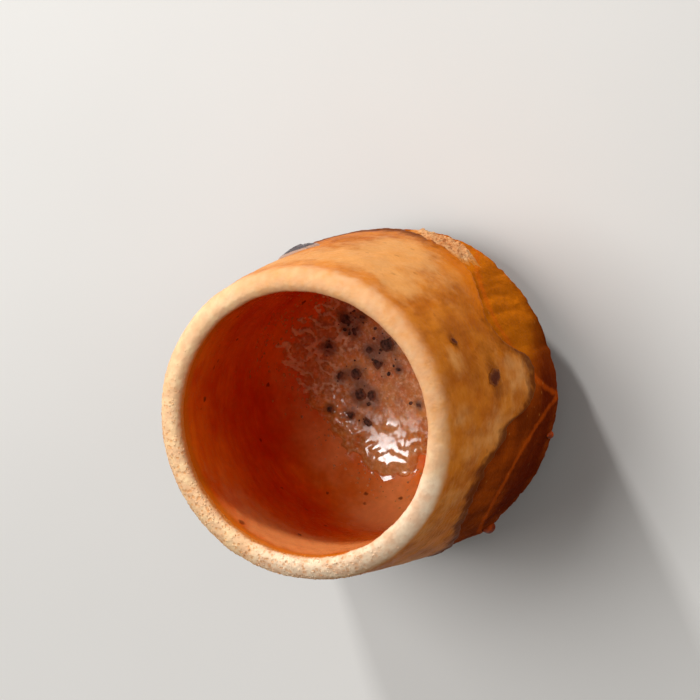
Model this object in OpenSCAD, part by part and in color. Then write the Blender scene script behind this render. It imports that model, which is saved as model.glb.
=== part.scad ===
// Guinomi, a small footed sake cup in wood-fired stoneware.
// The clay cup and its luted foot carry two glaze coats, and the kiln left ash and iron on those.
// Units are millimetres. +Z is up, the axis of the cup is Z and the origin is on the table under it.
// Angles are degrees around the axis from the front, -Y, towards the right-hand side, +X.

/* [Cup] */
// Height from the table to the top of the glazed lip
cup_height = 57; // [48:0.5:72]
// Clay diameter at the lower corner, across the ridges between the cut panels
corner_d = 61.6; // [56:0.2:72]
// Clay diameter just under the lip
shoulder_d = 55.6; // [48:0.2:60]
// Bulge of the wall past a straight line from corner to shoulder
wall_swell = 0.4; // [0:0.1:1.5]
// Height of the lower corner above the table
corner_height = 7.6; // [6.5:0.1:12]
// Bevel under the lower corner
corner_bevel = 1; // [0.4:0.1:1.5]

/* [Lip] */
// Clay thickness of the lip
lip_wall = 3.4; // [2.6:0.1:5]
// Round of the lip on its inner side
lip_inner_r = 1; // [0.5:0.1:1.6]

/* [Well] */
// Clay thickness of the wall at the foot of the well, behind the cut panels
well_wall = 5.4; // [4:0.1:8]
// Clay thickness of the floor
floor_t = 5.6; // [4:0.1:8]
// Round between the floor and the wall of the well
well_corner_r = 12; // [8:0.5:16]

/* [Cut panels] */
// Panels shaved off the lower wall with a knife
panel_count = 6; // [5:1:8]
// Depth of clay taken off at the middle of a panel
panel_depth = 0.8; // [0.3:0.1:1.5]
// Direction that the first panel faces
panel_turn = 9; // [-30:1:30]

/* [Foot] */
// Diameter of the foot ring where it joins the cup
foot_d = 35; // [28:0.5:42]
// Height of the foot ring
foot_h = 5; // [4.4:0.1:6]
// Width of the flat rim that stands on the table
foot_rim = 3.6; // [2.4:0.1:6]
// How far the foot ring draws in from the cup to the table
foot_draft = 1.2; // [0.4:0.1:2.5]
// Bevel at both edges of the standing rim
foot_bevel = 0.6; // [0.2:0.1:1]

/* [Outer glaze] */
// Thickness of the coat over the wall and the lip
glaze_t = 0.5; // [0.3:0.05:1]
// Depth below the lip that the coat reaches all round
glaze_drop = 33; // [24:0.5:36]
// Depth below the lip, on the inside, where the coat meets the liner
liner_meet = 3; // [2.2:0.1:5]

/* [Liner glaze] */
// Thickness of the coat inside the well
liner_t = 0.4; // [0.2:0.05:0.8]

/* [Kiln deposits] */
// Thickness of the melted ash on the floor of the well
ash_t = 0.5; // [0.3:0.05:1]
// Reach of the melted ash from its own middle
ash_reach = 18; // [12:0.5:19]
// How far the ash lies off the axis, towards the side it blew in from
ash_shift = 4; // [0:0.5:5]
// Side that the ash blew in from
ash_turn = 115; // [60:1:150]
// Height that the ash climbs above the floor
ash_climb = 6; // [3:0.5:9]
// Height that an iron spot stands proud
spot_rise = 0.4; // [0.3:0.05:0.6]
// Diameter of the largest iron spot
spot_d = 2.8; // [2.4:0.1:3.4]
// Thickness of the ash crust on the lower wall
crust_t = 0.7; // [0.4:0.1:1.2]
// Radius of the round patches that make up the crust
crust_r = 5.4; // [3:0.2:6]
// Radius of the largest glaze bead at the lower corner
bead_r = 1.3; // [0.8:0.1:1.8]
// Diameter of the dark ash blister on the right-hand wall
blister_d = 9; // [6:0.5:14]
// Height of the ash blister
blister_rise = 1.1; // [0.5:0.1:2]
// Depth of the blister's middle below the lip
blister_drop = 24; // [18:0.5:27]
// Direction of the ash blister
blister_turn = 88; // [60:1:150]

/* [Hidden] */
$fn = 144;

// Tongues where the glaze ran on: direction, depth past the coat's edge, width
RUNS = [[-11, 6, 11], [72, 7, 13], [101, 7, 11], [172, 6.5, 12], [236, 4, 10], [263, 6, 9]];
// Bites where the coat stopped short: direction, height above the coat's edge, width
BITES = [[-47, 16, 14], [10, 6.5, 12], [140, 5, 13], [203, 8, 15]];
// Half width of a tongue at its neck and at its root, as shares of the radius of its tip
tongue_neck = 0.9;
tongue_root = 1.5;
// Crust patches: direction, height above the lower corner and size, in shares of the patch radius
CRUST = [[39, 1.56, 0.85], [46, 1.28, 1], [54, 1.12, 0.95], [61, 0.9, 0.75]];
// Floor spots: direction, distance from the axis in shares of the ash's reach, share of the diameter
FLOOR_SPOTS = [
    [75, 0.5, 0.93], [92, 0.53, 0.57], [107, 0.91, 1], [116, 0.72, 0.71], [115, 0.41, 0.5],
    [127, 0.83, 0.57], [133, 0.89, 0.64], [139, 0.51, 0.71], [168, 0.43, 0.79], [174, 0.24, 0.86],
    [185, 0.58, 0.64], [70, 0.75, 0.57], [203, 0.64, 0.5], [46, 0.61, 0.5], [310, 0.29, 0.43]
];
// Wall spots: direction, depth below the lip in shares of the coat's drop, share of the diameter
WALL_SPOTS = [[-7.5, 0.64, 0.79], [9.5, 0.34, 0.46], [213, 0.45, 0.64]];
// Beads just above the lower corner: direction, share of the largest radius
BEADS = [[-77, 1], [-35, 0.6]];

// Lip and wall of the clay
clay_top = cup_height - glaze_t;
lip_outer_r = lip_wall - lip_inner_r;
shoulder_r = shoulder_d / 2;
shoulder_z = clay_top - lip_outer_r;
lip_mid_r = shoulder_r - lip_outer_r;
corner_r = corner_d / 2;
wall_steps = 10;
// Well inside the clay
floor_z = foot_h + floor_t;
well_r = corner_r - panel_depth - well_wall;
well_mid_r = well_r - well_corner_r;
well_mid_z = floor_z + well_corner_r;
lip_in_r = shoulder_r - lip_wall;
lip_in_z = clay_top - lip_inner_r;
meet_z = clay_top - liner_meet;
// Panels are shaved by a blade path of this radius, so that they meet at the ridges
panel_half = 180 / panel_count;
panel_chord = corner_r * sin(panel_half);
panel_sag = corner_r * (1 - cos(panel_half)) - panel_depth;
panel_r = (panel_chord ^ 2 + panel_sag ^ 2) / (2 * panel_sag);
panel_mid = corner_r - panel_depth - panel_r;
// Edges of coats and deposits
glaze_z = cup_height - glaze_drop;
pool_grow = liner_t + ash_t;
// Middle of the wall under the lip and at the coat's edge, and where cuts through the wall start
neck_mid_r = (lip_in_r + shoulder_r) / 2;
wall_mid_r = (well_r + wall_r(glaze_z)) / 2;
cut_start = (well_r + wall_mid_r) / 2;
// Room by which a cutting shape passes what it cuts
over = 2;
reach = corner_r + wall_swell + over;

function wall_r(z) =
    let (t = (z - corner_height) / (shoulder_z - corner_height))
    corner_r + (shoulder_r - corner_r) * t + 4 * wall_swell * t * (1 - t);

// Point at a direction, a distance from the axis and a height
function around(turn, r, z) = [r * sin(turn), -r * cos(turn), z];

// Ball radius of a cap with a given base diameter and height
function cap_r(d, rise) = (d ^ 2 / 4 + rise ^ 2) / (2 * rise);

// Lean of the pool's surface at a distance from the axis, 0 on the flat floor
function pool_lean(r) = r <= well_mid_r ? 0 : asin((r - well_mid_r) / (well_corner_r - pool_grow));

// Half outline of the cup with no well in it, grown outwards by the thickness of a coat
module body_2d(grow) {
    polygon(concat(
        [
            [0, foot_h],
            [foot_d / 2 + foot_draft, foot_h],
            [corner_r - corner_bevel + grow, corner_height - corner_bevel]
        ],
        [
            for (i = [0 : wall_steps])
                let (z = corner_height + (shoulder_z - corner_height) * i / wall_steps)
                [wall_r(z) + grow, z]
        ],
        [[0, shoulder_z]]
    ));
    translate([lip_mid_r, shoulder_z]) circle(r = lip_outer_r + grow);
    translate([0, shoulder_z]) square([lip_mid_r, lip_outer_r + grow]);
}

// Half outline of the well, shrunk by the thickness of the coats inside it
module well_2d(shrink) {
    translate([0, floor_z + shrink]) square([well_mid_r, well_mid_z - floor_z]);
    intersection() {
        translate([well_mid_r, well_mid_z]) circle(r = well_corner_r - shrink);
        translate([well_mid_r, floor_z]) square(well_corner_r);
    }
    polygon([[0, well_mid_z], [well_r - shrink, well_mid_z], [lip_in_r - shrink, lip_in_z], [0, lip_in_z]]);
    difference() {
        translate([0, lip_in_z]) square([lip_mid_r, lip_inner_r + glaze_t + over]);
        translate([lip_mid_r, lip_in_z]) circle(r = lip_inner_r + shrink);
    }
}

// Prism with the outline that the knife leaves, grown outwards by the thickness of a coat
module panel_prism(grow) {
    linear_extrude(cup_height + over)
        intersection_for (i = [0 : panel_count - 1])
            rotate(panel_turn - 90 + i * 2 * panel_half)
                translate([panel_mid, 0])
                    circle(r = panel_r + grow, $fn = 240);
}

// Cup with cut panels and no well in it
module body_solid(grow) {
    intersection() {
        rotate_extrude() body_2d(grow);
        panel_prism(grow);
    }
}

// Half outline of the cup with its well, both grown by the thickness of a coat
module cup_2d(grow) {
    difference() {
        body_2d(grow);
        well_2d(grow);
    }
}

// Cup with its well and its cut panels, both grown by the thickness of a coat
module cup_solid(grow) {
    intersection() {
        rotate_extrude() cup_2d(grow);
        panel_prism(grow);
    }
}

// Lays an upright axis outwards in one direction, or leans it back towards the axis of the cup
module facing(turn, lean = -90) {
    rotate([0, 0, turn])
        rotate([-lean, 0, 0])
            children();
}

// Straight cut through the wall in one direction, with an outline in width and height
module through_wall(turn) {
    facing(turn)
        translate([0, 0, cut_start])
            linear_extrude(reach + over - cut_start)
                children();
}

module crust_zone() {
    for (c = CRUST)
        through_wall(c[0])
            translate([0, corner_height + crust_r * c[1]])
                circle(r = crust_r * c[2]);
}

// Tongue with a round tip at a distance above the coat's edge, wider at its root below that edge
module tongue_2d(rise, width) {
    tip = width / 2;
    translate([0, rise - tip]) circle(r = tip);
    neck = tongue_neck * tip;
    root = tongue_root * tip;
    polygon([[-neck, rise - tip], [neck, rise - tip], [root, -tip], [-root, -tip]]);
}

// Where the coat lies: from its ragged edge up the wall, over the lip and down to the liner
module glaze_zone() {
    difference() {
        union() {
            rotate_extrude()
                polygon([
                    [wall_mid_r, glaze_z],
                    [reach, glaze_z],
                    [reach, cup_height + over],
                    [0, cup_height + over],
                    [0, meet_z],
                    [neck_mid_r, meet_z]
                ]);
            for (run = RUNS)
                through_wall(run[0])
                    translate([0, glaze_z])
                        mirror([0, 1])
                            tongue_2d(run[1], run[2]);
        }
        for (bite = BITES)
            through_wall(bite[0])
                translate([0, glaze_z])
                    tongue_2d(bite[1], bite[2]);
        crust_zone();
    }
}

module clay_cup() {
    color([0.42, 0.22, 0.13]) cup_solid(0);
}

module foot_ring() {
    outer = foot_d / 2 - foot_draft;
    inner = outer - foot_rim - 2 * foot_bevel;
    color([0.46, 0.25, 0.15])
        rotate_extrude()
            polygon([
                [inner + foot_bevel, 0],
                [outer - foot_bevel, 0],
                [outer, foot_bevel],
                [foot_d / 2, foot_h],
                [inner - foot_draft, foot_h],
                [inner, foot_bevel]
            ]);
}

module outer_glaze() {
    color([0.86, 0.6, 0.3])
        intersection() {
            difference() {
                cup_solid(glaze_t);
                cup_solid(0);
            }
            glaze_zone();
        }
}

module inner_glaze() {
    color([0.62, 0.25, 0.08])
        rotate_extrude()
            intersection() {
                difference() {
                    well_2d(0);
                    well_2d(liner_t);
                }
                square([corner_r, meet_z]);
            }
}

module ash_pool() {
    color([0.74, 0.58, 0.5])
        intersection() {
            rotate_extrude()
                difference() {
                    well_2d(liner_t);
                    well_2d(pool_grow);
                }
            translate(around(ash_turn, ash_shift, floor_z)) cylinder(r = ash_reach, h = ash_climb);
        }
}

module iron_spots() {
    color([0.17, 0.12, 0.11]) {
        intersection() {
            for (s = FLOOR_SPOTS) {
                spot_r = ash_reach * s[1];
                lean = pool_lean(spot_r);
                ball = cap_r(spot_d * s[2], spot_rise);
                sunk = ball - spot_rise;
                mid_r = min(spot_r, well_mid_r) + (well_corner_r - pool_grow + sunk) * sin(lean);
                mid_z = well_mid_z - (well_corner_r - pool_grow + sunk) * cos(lean);
                translate(around(s[0], mid_r, mid_z))
                    facing(s[0], lean)
                        sphere(r = ball);
            }
            rotate_extrude() well_2d(pool_grow);
        }
        difference() {
            for (s = WALL_SPOTS) {
                z = cup_height - glaze_drop * s[1];
                ball = cap_r(spot_d * s[2], spot_rise);
                translate(around(s[0], wall_r(z) + glaze_t + spot_rise - ball, z))
                    facing(s[0])
                        sphere(r = ball);
            }
            body_solid(glaze_t);
        }
    }
}

module ash_crust() {
    color([0.88, 0.74, 0.62])
        difference() {
            intersection() {
                body_solid(crust_t);
                crust_zone();
            }
            body_solid(0);
        }
}

module glaze_beads() {
    color([0.72, 0.34, 0.14])
        difference() {
            for (b = BEADS)
                translate(around(b[0], corner_r - panel_depth / 2, corner_height + bead_r))
                    facing(b[0])
                        sphere(r = bead_r * b[1]);
            body_solid(0);
        }
}

module ash_blister() {
    z = cup_height - blister_drop;
    ball = cap_r(blister_d, blister_rise);
    color([0.36, 0.35, 0.36])
        difference() {
            translate(around(blister_turn, wall_r(z) + glaze_t + blister_rise - ball, z))
                facing(blister_turn)
                    sphere(r = ball);
            body_solid(glaze_t);
        }
}

clay_cup();
foot_ring();
outer_glaze();
inner_glaze();
ash_pool();
iron_spots();
ash_crust();
glaze_beads();
ash_blister();
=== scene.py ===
"""Looks of a small hand-made sake cup: thrown clay with knife-cut panels, two glazes and kiln deposits.

Sizes are millimetres until a mesh is made. Directions are degrees from the front (-Y) towards +X, and
depths are measured down from the lip.
"""

import logging
import math
from dataclasses import dataclass, field
from enum import Enum
from functools import cache
from typing import Any, ClassVar, Iterable, Sequence

import bpy
import numpy as np
from mathutils import Matrix, Vector


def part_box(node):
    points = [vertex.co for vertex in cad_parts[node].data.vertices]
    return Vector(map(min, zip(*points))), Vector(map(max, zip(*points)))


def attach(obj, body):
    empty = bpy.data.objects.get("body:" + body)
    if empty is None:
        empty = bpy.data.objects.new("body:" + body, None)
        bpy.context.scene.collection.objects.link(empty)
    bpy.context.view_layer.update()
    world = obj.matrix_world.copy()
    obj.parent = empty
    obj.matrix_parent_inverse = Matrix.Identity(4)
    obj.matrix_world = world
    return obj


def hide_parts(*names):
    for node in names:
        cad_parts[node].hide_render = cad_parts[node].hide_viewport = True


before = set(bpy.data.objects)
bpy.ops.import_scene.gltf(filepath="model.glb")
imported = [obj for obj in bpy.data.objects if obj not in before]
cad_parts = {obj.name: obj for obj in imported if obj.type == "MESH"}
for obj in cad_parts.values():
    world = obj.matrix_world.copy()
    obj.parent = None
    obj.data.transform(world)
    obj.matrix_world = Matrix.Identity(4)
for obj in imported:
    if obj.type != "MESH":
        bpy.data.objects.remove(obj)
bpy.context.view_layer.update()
LOG = logging.getLogger("sake_cup")
MM = 0.001
BODY = "root"
Array = np.ndarray
Values = np.ndarray | float
Socket = bpy.types.NodeSocket


class Slot(Enum):
    """Material slots of the record."""

    CLAY = "clay"
    OUTER_GLAZE = "outer_glaze"
    LINER = "liner_glaze"
    ASH = "ash_glass"
    IRON = "iron"
    CRUST = "crust"
    BEAD = "bead"
    BLISTER = "blister"


class Ring(Enum):
    """How the rows of a shell close."""

    POLES = "poles"
    LOOP = "loop"


def ease(value: Values, low: float, high: float) -> Values:
    """Returns 0 below low, 1 above high and a smooth step between them."""
    share = np.clip((value - low) / (high - low), 0.0, 1.0)
    return share * share * (3.0 - 2.0 * share)


def gap(turn: Values, centre: float) -> Values:
    """Returns the signed angle from a direction, from -180 to 180 degrees."""
    return (turn - centre + 180.0) % 360.0 - 180.0


def place(turn: Values, r: Values, z: Values) -> Array:
    """Returns points from directions, distances from the axis and heights."""
    angle = np.radians(turn)
    return np.stack(np.broadcast_arrays(r * np.sin(angle), -r * np.cos(angle), z), axis=-1)


def turn_of(points: Array) -> Array:
    """Returns the directions of points, from -180 to 180 degrees."""
    return np.degrees(np.arctan2(points[..., 0], -points[..., 1]))


def tint(code: str) -> tuple[float, float, float, float]:
    """Turns a colour as it is seen on screen, such as D89A4C, into linear values."""
    seen = [int(code[i : i + 2], 16) / 255.0 for i in (0, 2, 4)]
    linear = [v / 12.92 if v <= 0.04045 else ((v + 0.055) / 1.055) ** 2.4 for v in seen]
    return (linear[0], linear[1], linear[2], 1.0)


def circle(angle: Array, r: float) -> Array:
    """Returns points on a circle round the axis, by angle in radians."""
    return np.stack([r * np.cos(angle), r * np.sin(angle), 0 * angle], axis=-1)


def close_to(flat: Array, turn: float, r: float, reach: float) -> Array:
    """Returns the closeness to a place, seen from above, which fades out over a reach."""
    spot = place(turn, r, 0.0)
    return np.exp(-((flat[..., 0] - spot[0]) ** 2 + (flat[..., 1] - spot[1]) ** 2) / reach**2)


class Ripple:
    """Smooth random relief in space, as a sum of waves in random directions."""

    count: ClassVar[int] = 22

    def __init__(
        self, seed: int, length: float, height: float = 1.0, stretch: Sequence[float] = (1.0, 1.0, 1.0)
    ) -> None:
        """Draws the waves.

        Args:
            seed: Fixes the draw.
            length: Typical wave length.
            height: Typical height of the relief.
            stretch: How much longer the waves are along each axis.
        """
        draw = np.random.default_rng(seed)
        heading = draw.normal(size=(self.count, 3))
        heading /= np.linalg.norm(heading, axis=1, keepdims=True)
        pace = 2 * math.pi / length
        self.waves = heading * pace * draw.uniform(0.6, 1.7, (self.count, 1)) / np.array(stretch)
        self.phases = draw.uniform(0.0, 2 * math.pi, self.count)
        self.height = height

    def at(self, points: Array) -> Array:
        """Returns the relief at points, mostly within twice its height."""
        total = np.zeros(points.shape[:-1])
        for wave, phase in zip(self.waves, self.phases):
            total += np.sin(points @ wave + phase)
        return self.height * total / math.sqrt(self.count / 2)


def summed(ripples: Iterable[Ripple], points: Array) -> Array:
    """Adds up the relief of several ripples at points."""
    return sum(ripple.at(points) for ripple in ripples)


@dataclass(frozen=True)
class Side:
    """A side of the cup: whole within one angle of a direction, and fading out to another."""

    turn: float
    whole: float
    out: float

    def at(self, turn: Array) -> Array:
        """Returns the share of the side at directions."""
        return 1 - ease(np.abs(gap(turn, self.turn)), self.whole, self.out)


@dataclass(frozen=True)
class Patch:
    """A soft-edged patch on the wall."""

    turn: float
    depth: float
    width: float
    height: float
    amount: float = 1.0


def patched(patches: Iterable[Patch], turn: Array, depth: Array) -> Array:
    """Adds up patches, each fading from its middle, and limits the sum to 1.

    Args:
        patches: Patches, with widths in degrees and heights in millimetres.
        turn: Directions.
        depth: Depths below the lip.

    Returns:
        The mask.
    """
    total = np.zeros(np.broadcast(turn, depth).shape)
    for p in patches:
        away = (gap(turn, p.turn) / p.width) ** 2 + ((depth - p.depth) / p.height) ** 2
        total = total + p.amount * np.exp(-away)
    return np.clip(total, 0.0, 1.0)


@dataclass(frozen=True)
class CupForm:
    """The ideal form of the clay, and the unevenness that the hand gives it."""

    cup_height: float
    foot_h: float
    floor_z: float
    corner_r: float = 30.8
    corner_h: float = 7.6
    corner_bevel: float = 1.0
    shoulder_r: float = 27.8
    swell: float = 0.4
    lip_wall: float = 3.4
    lip_inner_r: float = 1.0
    well_wall: float = 5.4
    well_corner_r: float = 12.0
    panel_count: int = 6
    panel_depth: float = 0.8
    panel_turn: float = 9.0
    arris_round: float = 0.07
    foot_r: float = 18.7
    glaze_t: float = 0.5
    liner_t: float = 0.4
    ash_t: float = 0.5
    oval: float = 0.35
    dip: float = 0.4
    uneven_from: float = 12.0
    oval_turn: float = 40.0
    dip_turn: float = 150.0
    knife_from: tuple[float, float] = (-4.0, -2.4)
    knife_to: tuple[float, float] = (10.0, 32.0)
    knife_top: tuple[float, float] = (13.0, 21.0)
    knife_bite: float = 0.6

    @classmethod
    def from_frame(cls) -> "CupForm":
        """Reads the main heights from the CAD nodes."""
        return cls(
            cup_height=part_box("outer_glaze")[1].z / MM,
            foot_h=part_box("foot_ring")[1].z / MM,
            floor_z=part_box("inner_glaze")[0].z / MM,
        )

    @property
    def clay_top(self) -> float:
        """Top of the clay under the coat."""
        return self.cup_height - self.glaze_t

    @property
    def lip_outer_r(self) -> float:
        """Radius of the lip's outer rounding."""
        return self.lip_wall - self.lip_inner_r

    @property
    def shoulder_z(self) -> float:
        """Height at which the wall turns into the lip."""
        return self.clay_top - self.lip_outer_r

    @property
    def lip_mid_r(self) -> float:
        """Distance of the lip's crest from the axis."""
        return self.shoulder_r - self.lip_outer_r

    @property
    def lip_in_z(self) -> float:
        """Height at which the lip's inner rounding ends."""
        return self.clay_top - self.lip_inner_r

    @property
    def lip_in_r(self) -> float:
        """Radius of the mouth."""
        return self.shoulder_r - self.lip_wall

    @property
    def well_r(self) -> float:
        """Radius of the well above its rounding."""
        return self.corner_r - self.panel_depth - self.well_wall

    @property
    def well_mid_r(self) -> float:
        """Radius of the flat floor of the well."""
        return self.well_r - self.well_corner_r

    @property
    def well_mid_z(self) -> float:
        """Height at which the rounding of the well ends."""
        return self.floor_z + self.well_corner_r

    @property
    def wall_along(self) -> float:
        """Distance along the well's profile at which its rounding ends."""
        return self.well_mid_r + self.well_corner_r * math.pi / 2

    def lip(self, bend: float) -> tuple[float, float]:
        """Returns a place on the lip, by degrees from its outer side over its crest."""
        outer = bend <= 90
        radius, mid = (self.lip_outer_r, self.shoulder_z) if outer else (self.lip_inner_r, self.lip_in_z)
        angle = math.radians(bend)
        return self.lip_mid_r + radius * math.cos(angle), mid + radius * math.sin(angle)

    def wall_r(self, z: Values) -> Values:
        """Returns the radius of the thrown wall, which swells between the corner and the shoulder."""
        t = np.clip((z - self.corner_h) / (self.shoulder_z - self.corner_h), 0.0, 1.0)
        return self.corner_r + (self.shoulder_r - self.corner_r) * t + 4 * self.swell * t * (1 - t)

    def panel_r(self, turn: Array) -> Array:
        """Returns the radius that the knife leaves, an arc for each panel."""
        half = math.pi / self.panel_count
        chord = self.corner_r * math.sin(half)
        sag = self.corner_r * (1 - math.cos(half)) - self.panel_depth
        arc_r = (chord**2 + sag**2) / (2 * sag)
        arc_mid = self.corner_r - self.panel_depth - arc_r
        step = 360.0 / self.panel_count
        off = np.radians((turn - self.panel_turn + step / 2) % step - step / 2)
        return arc_mid * np.cos(off) + np.sqrt(arc_r**2 - (arc_mid * np.sin(off)) ** 2)

    def knife_stop(self, turn: Array, z: Values) -> Array:
        """Returns how much deeper the knife went on the front panel, up to where it stopped."""
        across = gap(turn, 0.0)
        along = ease(across, *self.knife_from) * (1 - ease(across, *self.knife_to))
        return self.knife_bite * along * (1 - ease(z, *self.knife_top))

    def outer_r(self, turn: Array, z: Values) -> Array:
        """Returns the radius of the clay outside, with the panels cut into the wall."""
        wall = self.wall_r(z)
        cut = self.panel_r(turn)
        softened = 0.5 * (wall + cut - np.sqrt((wall - cut) ** 2 + self.arris_round**2))
        return softened - self.knife_stop(turn, z)

    def cut_share(self, turn: Array, z: Array) -> Array:
        """Returns how far the thrown wall stood proud of the knife's cut, in millimetres."""
        return self.wall_r(z) - self.panel_r(turn)

    def well(self, along: Values, lift: Values) -> tuple[Values, Values]:
        """Follows the well from the middle of its floor, round its corner and up its wall.

        Args:
            along: Distance along the profile.
            lift: Height above the clay, along the normal.

        Returns:
            Distances from the axis and heights.
        """
        bend = np.clip((along - self.well_mid_r) / self.well_corner_r, 0.0, math.pi / 2)
        rise = np.maximum(along - self.wall_along, 0.0)
        lean = (self.lip_in_r - self.well_r) / (self.lip_in_z - self.well_mid_z)
        reach = self.well_corner_r - lift
        r = np.minimum(along, self.well_mid_r) + reach * np.sin(bend) + lean * rise
        z = self.well_mid_z - reach * np.cos(bend) + rise
        return r, z

    def well_along(self, r: Array) -> Array:
        """Returns the distance along the well's profile at a distance from the axis."""
        over = np.clip((r - self.well_mid_r) / self.well_corner_r, 0.0, 1.0)
        return np.minimum(r, self.well_mid_r) + self.well_corner_r * np.arcsin(over)

    def settle(self, points: Array) -> Array:
        """Gives the ideal form the unevenness of a hand-made one, mostly towards the lip."""
        x, y, z = points[..., 0], points[..., 1], points[..., 2]
        turn = np.arctan2(x, -y)
        high = ease(z, self.uneven_from, self.cup_height)
        squeeze = 0.5 + 0.5 * np.cos(2 * (turn - math.radians(self.oval_turn)))
        pull = 1 - high * squeeze * self.oval / self.shoulder_r
        sink = high * self.dip * (0.5 + 0.5 * np.cos(turn - math.radians(self.dip_turn)))
        return np.stack([x * pull, y * pull, z - sink], axis=-1)


def shell(
    name: str, rows: Array, ring: Ring, masks: dict[str, Array] | None = None
) -> bpy.types.Object:
    """Makes a closed mesh from rows of points that each run round the piece.

    Args:
        name: Name of the object.
        rows: Points in millimetres, rows by columns by 3.
        ring: Whether the first and last rows close in poles or on each other.
        masks: Values for each point, kept as attributes of the mesh.

    Returns:
        The object, at the origin, with its faces pointing outwards.
    """
    count, columns, _ = rows.shape
    points = rows.reshape(-1, 3)
    index = np.arange(count * columns).reshape(count, columns)
    lower, upper = (index, np.roll(index, -1, axis=0)) if ring is Ring.LOOP else (index[:-1], index[1:])
    quads = np.stack([lower, np.roll(lower, -1, 1), np.roll(upper, -1, 1), upper], axis=-1).reshape(-1, 4)
    faces = quads.tolist()
    values = {key: np.broadcast_to(mask, (count, columns)).reshape(-1) for key, mask in (masks or {}).items()}
    if ring is Ring.POLES:
        first, last = len(points), len(points) + 1
        points = np.vstack([points, rows[0].mean(axis=0), rows[-1].mean(axis=0)])
        faces += [[first, int(b), int(a)] for a, b in zip(index[0], np.roll(index[0], -1))]
        faces += [[last, int(a), int(b)] for a, b in zip(index[-1], np.roll(index[-1], -1))]
        values = {
            key: np.concatenate([mask, [mask[:columns].mean(), mask[-columns:].mean()]])
            for key, mask in values.items()
        }
    corner = points[quads]
    volume = np.einsum("ij,ij->i", corner[:, 0], np.cross(corner[:, 1], corner[:, 2])).sum()
    volume += np.einsum("ij,ij->i", corner[:, 0], np.cross(corner[:, 2], corner[:, 3])).sum()
    if volume < 0:
        faces = [face[::-1] for face in faces]
    mesh = bpy.data.meshes.new(name)
    mesh.from_pydata((points * MM).tolist(), [], faces)
    for key, mask in values.items():
        mesh.attributes.new(key, "FLOAT", "POINT").data.foreach_set("value", mask.astype(np.float32))
    mesh.shade_smooth()
    mesh.update()
    return link(bpy.data.objects.new(name, mesh))


def link(obj: bpy.types.Object) -> bpy.types.Object:
    """Puts an object in the scene and returns it."""
    bpy.context.scene.collection.objects.link(obj)
    return obj


class Bench:
    """Places and links the nodes of one tree."""

    def __init__(self, tree: bpy.types.NodeTree) -> None:
        """Keeps the tree that the nodes go into."""
        self.tree = tree

    def node(self, kind: str, values: dict[str | int, Any] | None = None, **settings: Any) -> bpy.types.Node:
        """Adds a node.

        Args:
            kind: The node's type.
            values: Inputs by name or number, each a socket to link or a value to set.
            settings: Properties of the node.

        Returns:
            The node.
        """
        made = self.tree.nodes.new(kind)
        for key, value in settings.items():
            setattr(made, key, value)
        for key, value in (values or {}).items():
            if isinstance(value, Socket):
                self.tree.links.new(value, made.inputs[key])
            else:
                made.inputs[key].default_value = value
        return made

    def first(self, kind: str, values: dict[str | int, Any] | None = None, **settings: Any) -> Socket:
        """Adds a node and returns its first output."""
        return self.node(kind, values, **settings).outputs[0]

    def group(self, tree: bpy.types.NodeTree, values: dict[str | int, Any]) -> Socket:
        """Places a shader group and returns its first output."""
        return self.first("ShaderNodeGroup", values, node_tree=tree)

    def math(self, operation: str, first: Any, second: Any = 0.0) -> Socket:
        """Returns the result of a sum on two values."""
        return self.first("ShaderNodeMath", {0: first, 1: second}, operation=operation)

    def vector(
        self, operation: str, first: Any, second: Any = (0.0, 0.0, 0.0), scale: Any = 1.0
    ) -> Socket:
        """Returns the result of a sum on two vectors, or on a vector and a scale."""
        other = {"Scale": scale} if operation == "SCALE" else {1: second}
        made = self.node("ShaderNodeVectorMath", {0: first, **other}, operation=operation)
        return made.outputs["Value" if operation == "DOT_PRODUCT" else "Vector"]

    def ramp(
        self, value: Any, low: Any, high: Any, out_low: float = 0.0, out_high: float = 1.0
    ) -> Socket:
        """Returns a value that goes smoothly from one level to another."""
        values = {"Value": value, "From Min": low, "From Max": high, "To Min": out_low, "To Max": out_high}
        return self.first("ShaderNodeMapRange", values, interpolation_type="SMOOTHSTEP")

    def step(self, value: Any, middle: Any, half: Any) -> Socket:
        """Returns a smooth step from 0 to 1 about a middle value."""
        return self.ramp(value, self.math("SUBTRACT", middle, half), self.math("ADD", middle, half))

    def blend(self, share: Any, first: Any, second: Any, mode: str = "MIX") -> Socket:
        """Returns a blend of two colours."""
        made = self.node("ShaderNodeMix", {0: share, 6: first, 7: second}, data_type="RGBA", blend_type=mode)
        return made.outputs[2]

    def mask(self, name: str) -> Socket:
        """Returns one of the mesh's own masks."""
        return self.node("ShaderNodeAttribute", attribute_name=name).outputs["Fac"]

    def millimetres(self) -> Socket:
        """Returns the place on the piece, in millimetres."""
        return self.vector("SCALE", self.node("ShaderNodeTexCoord").outputs["Object"], scale=1 / MM)


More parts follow.
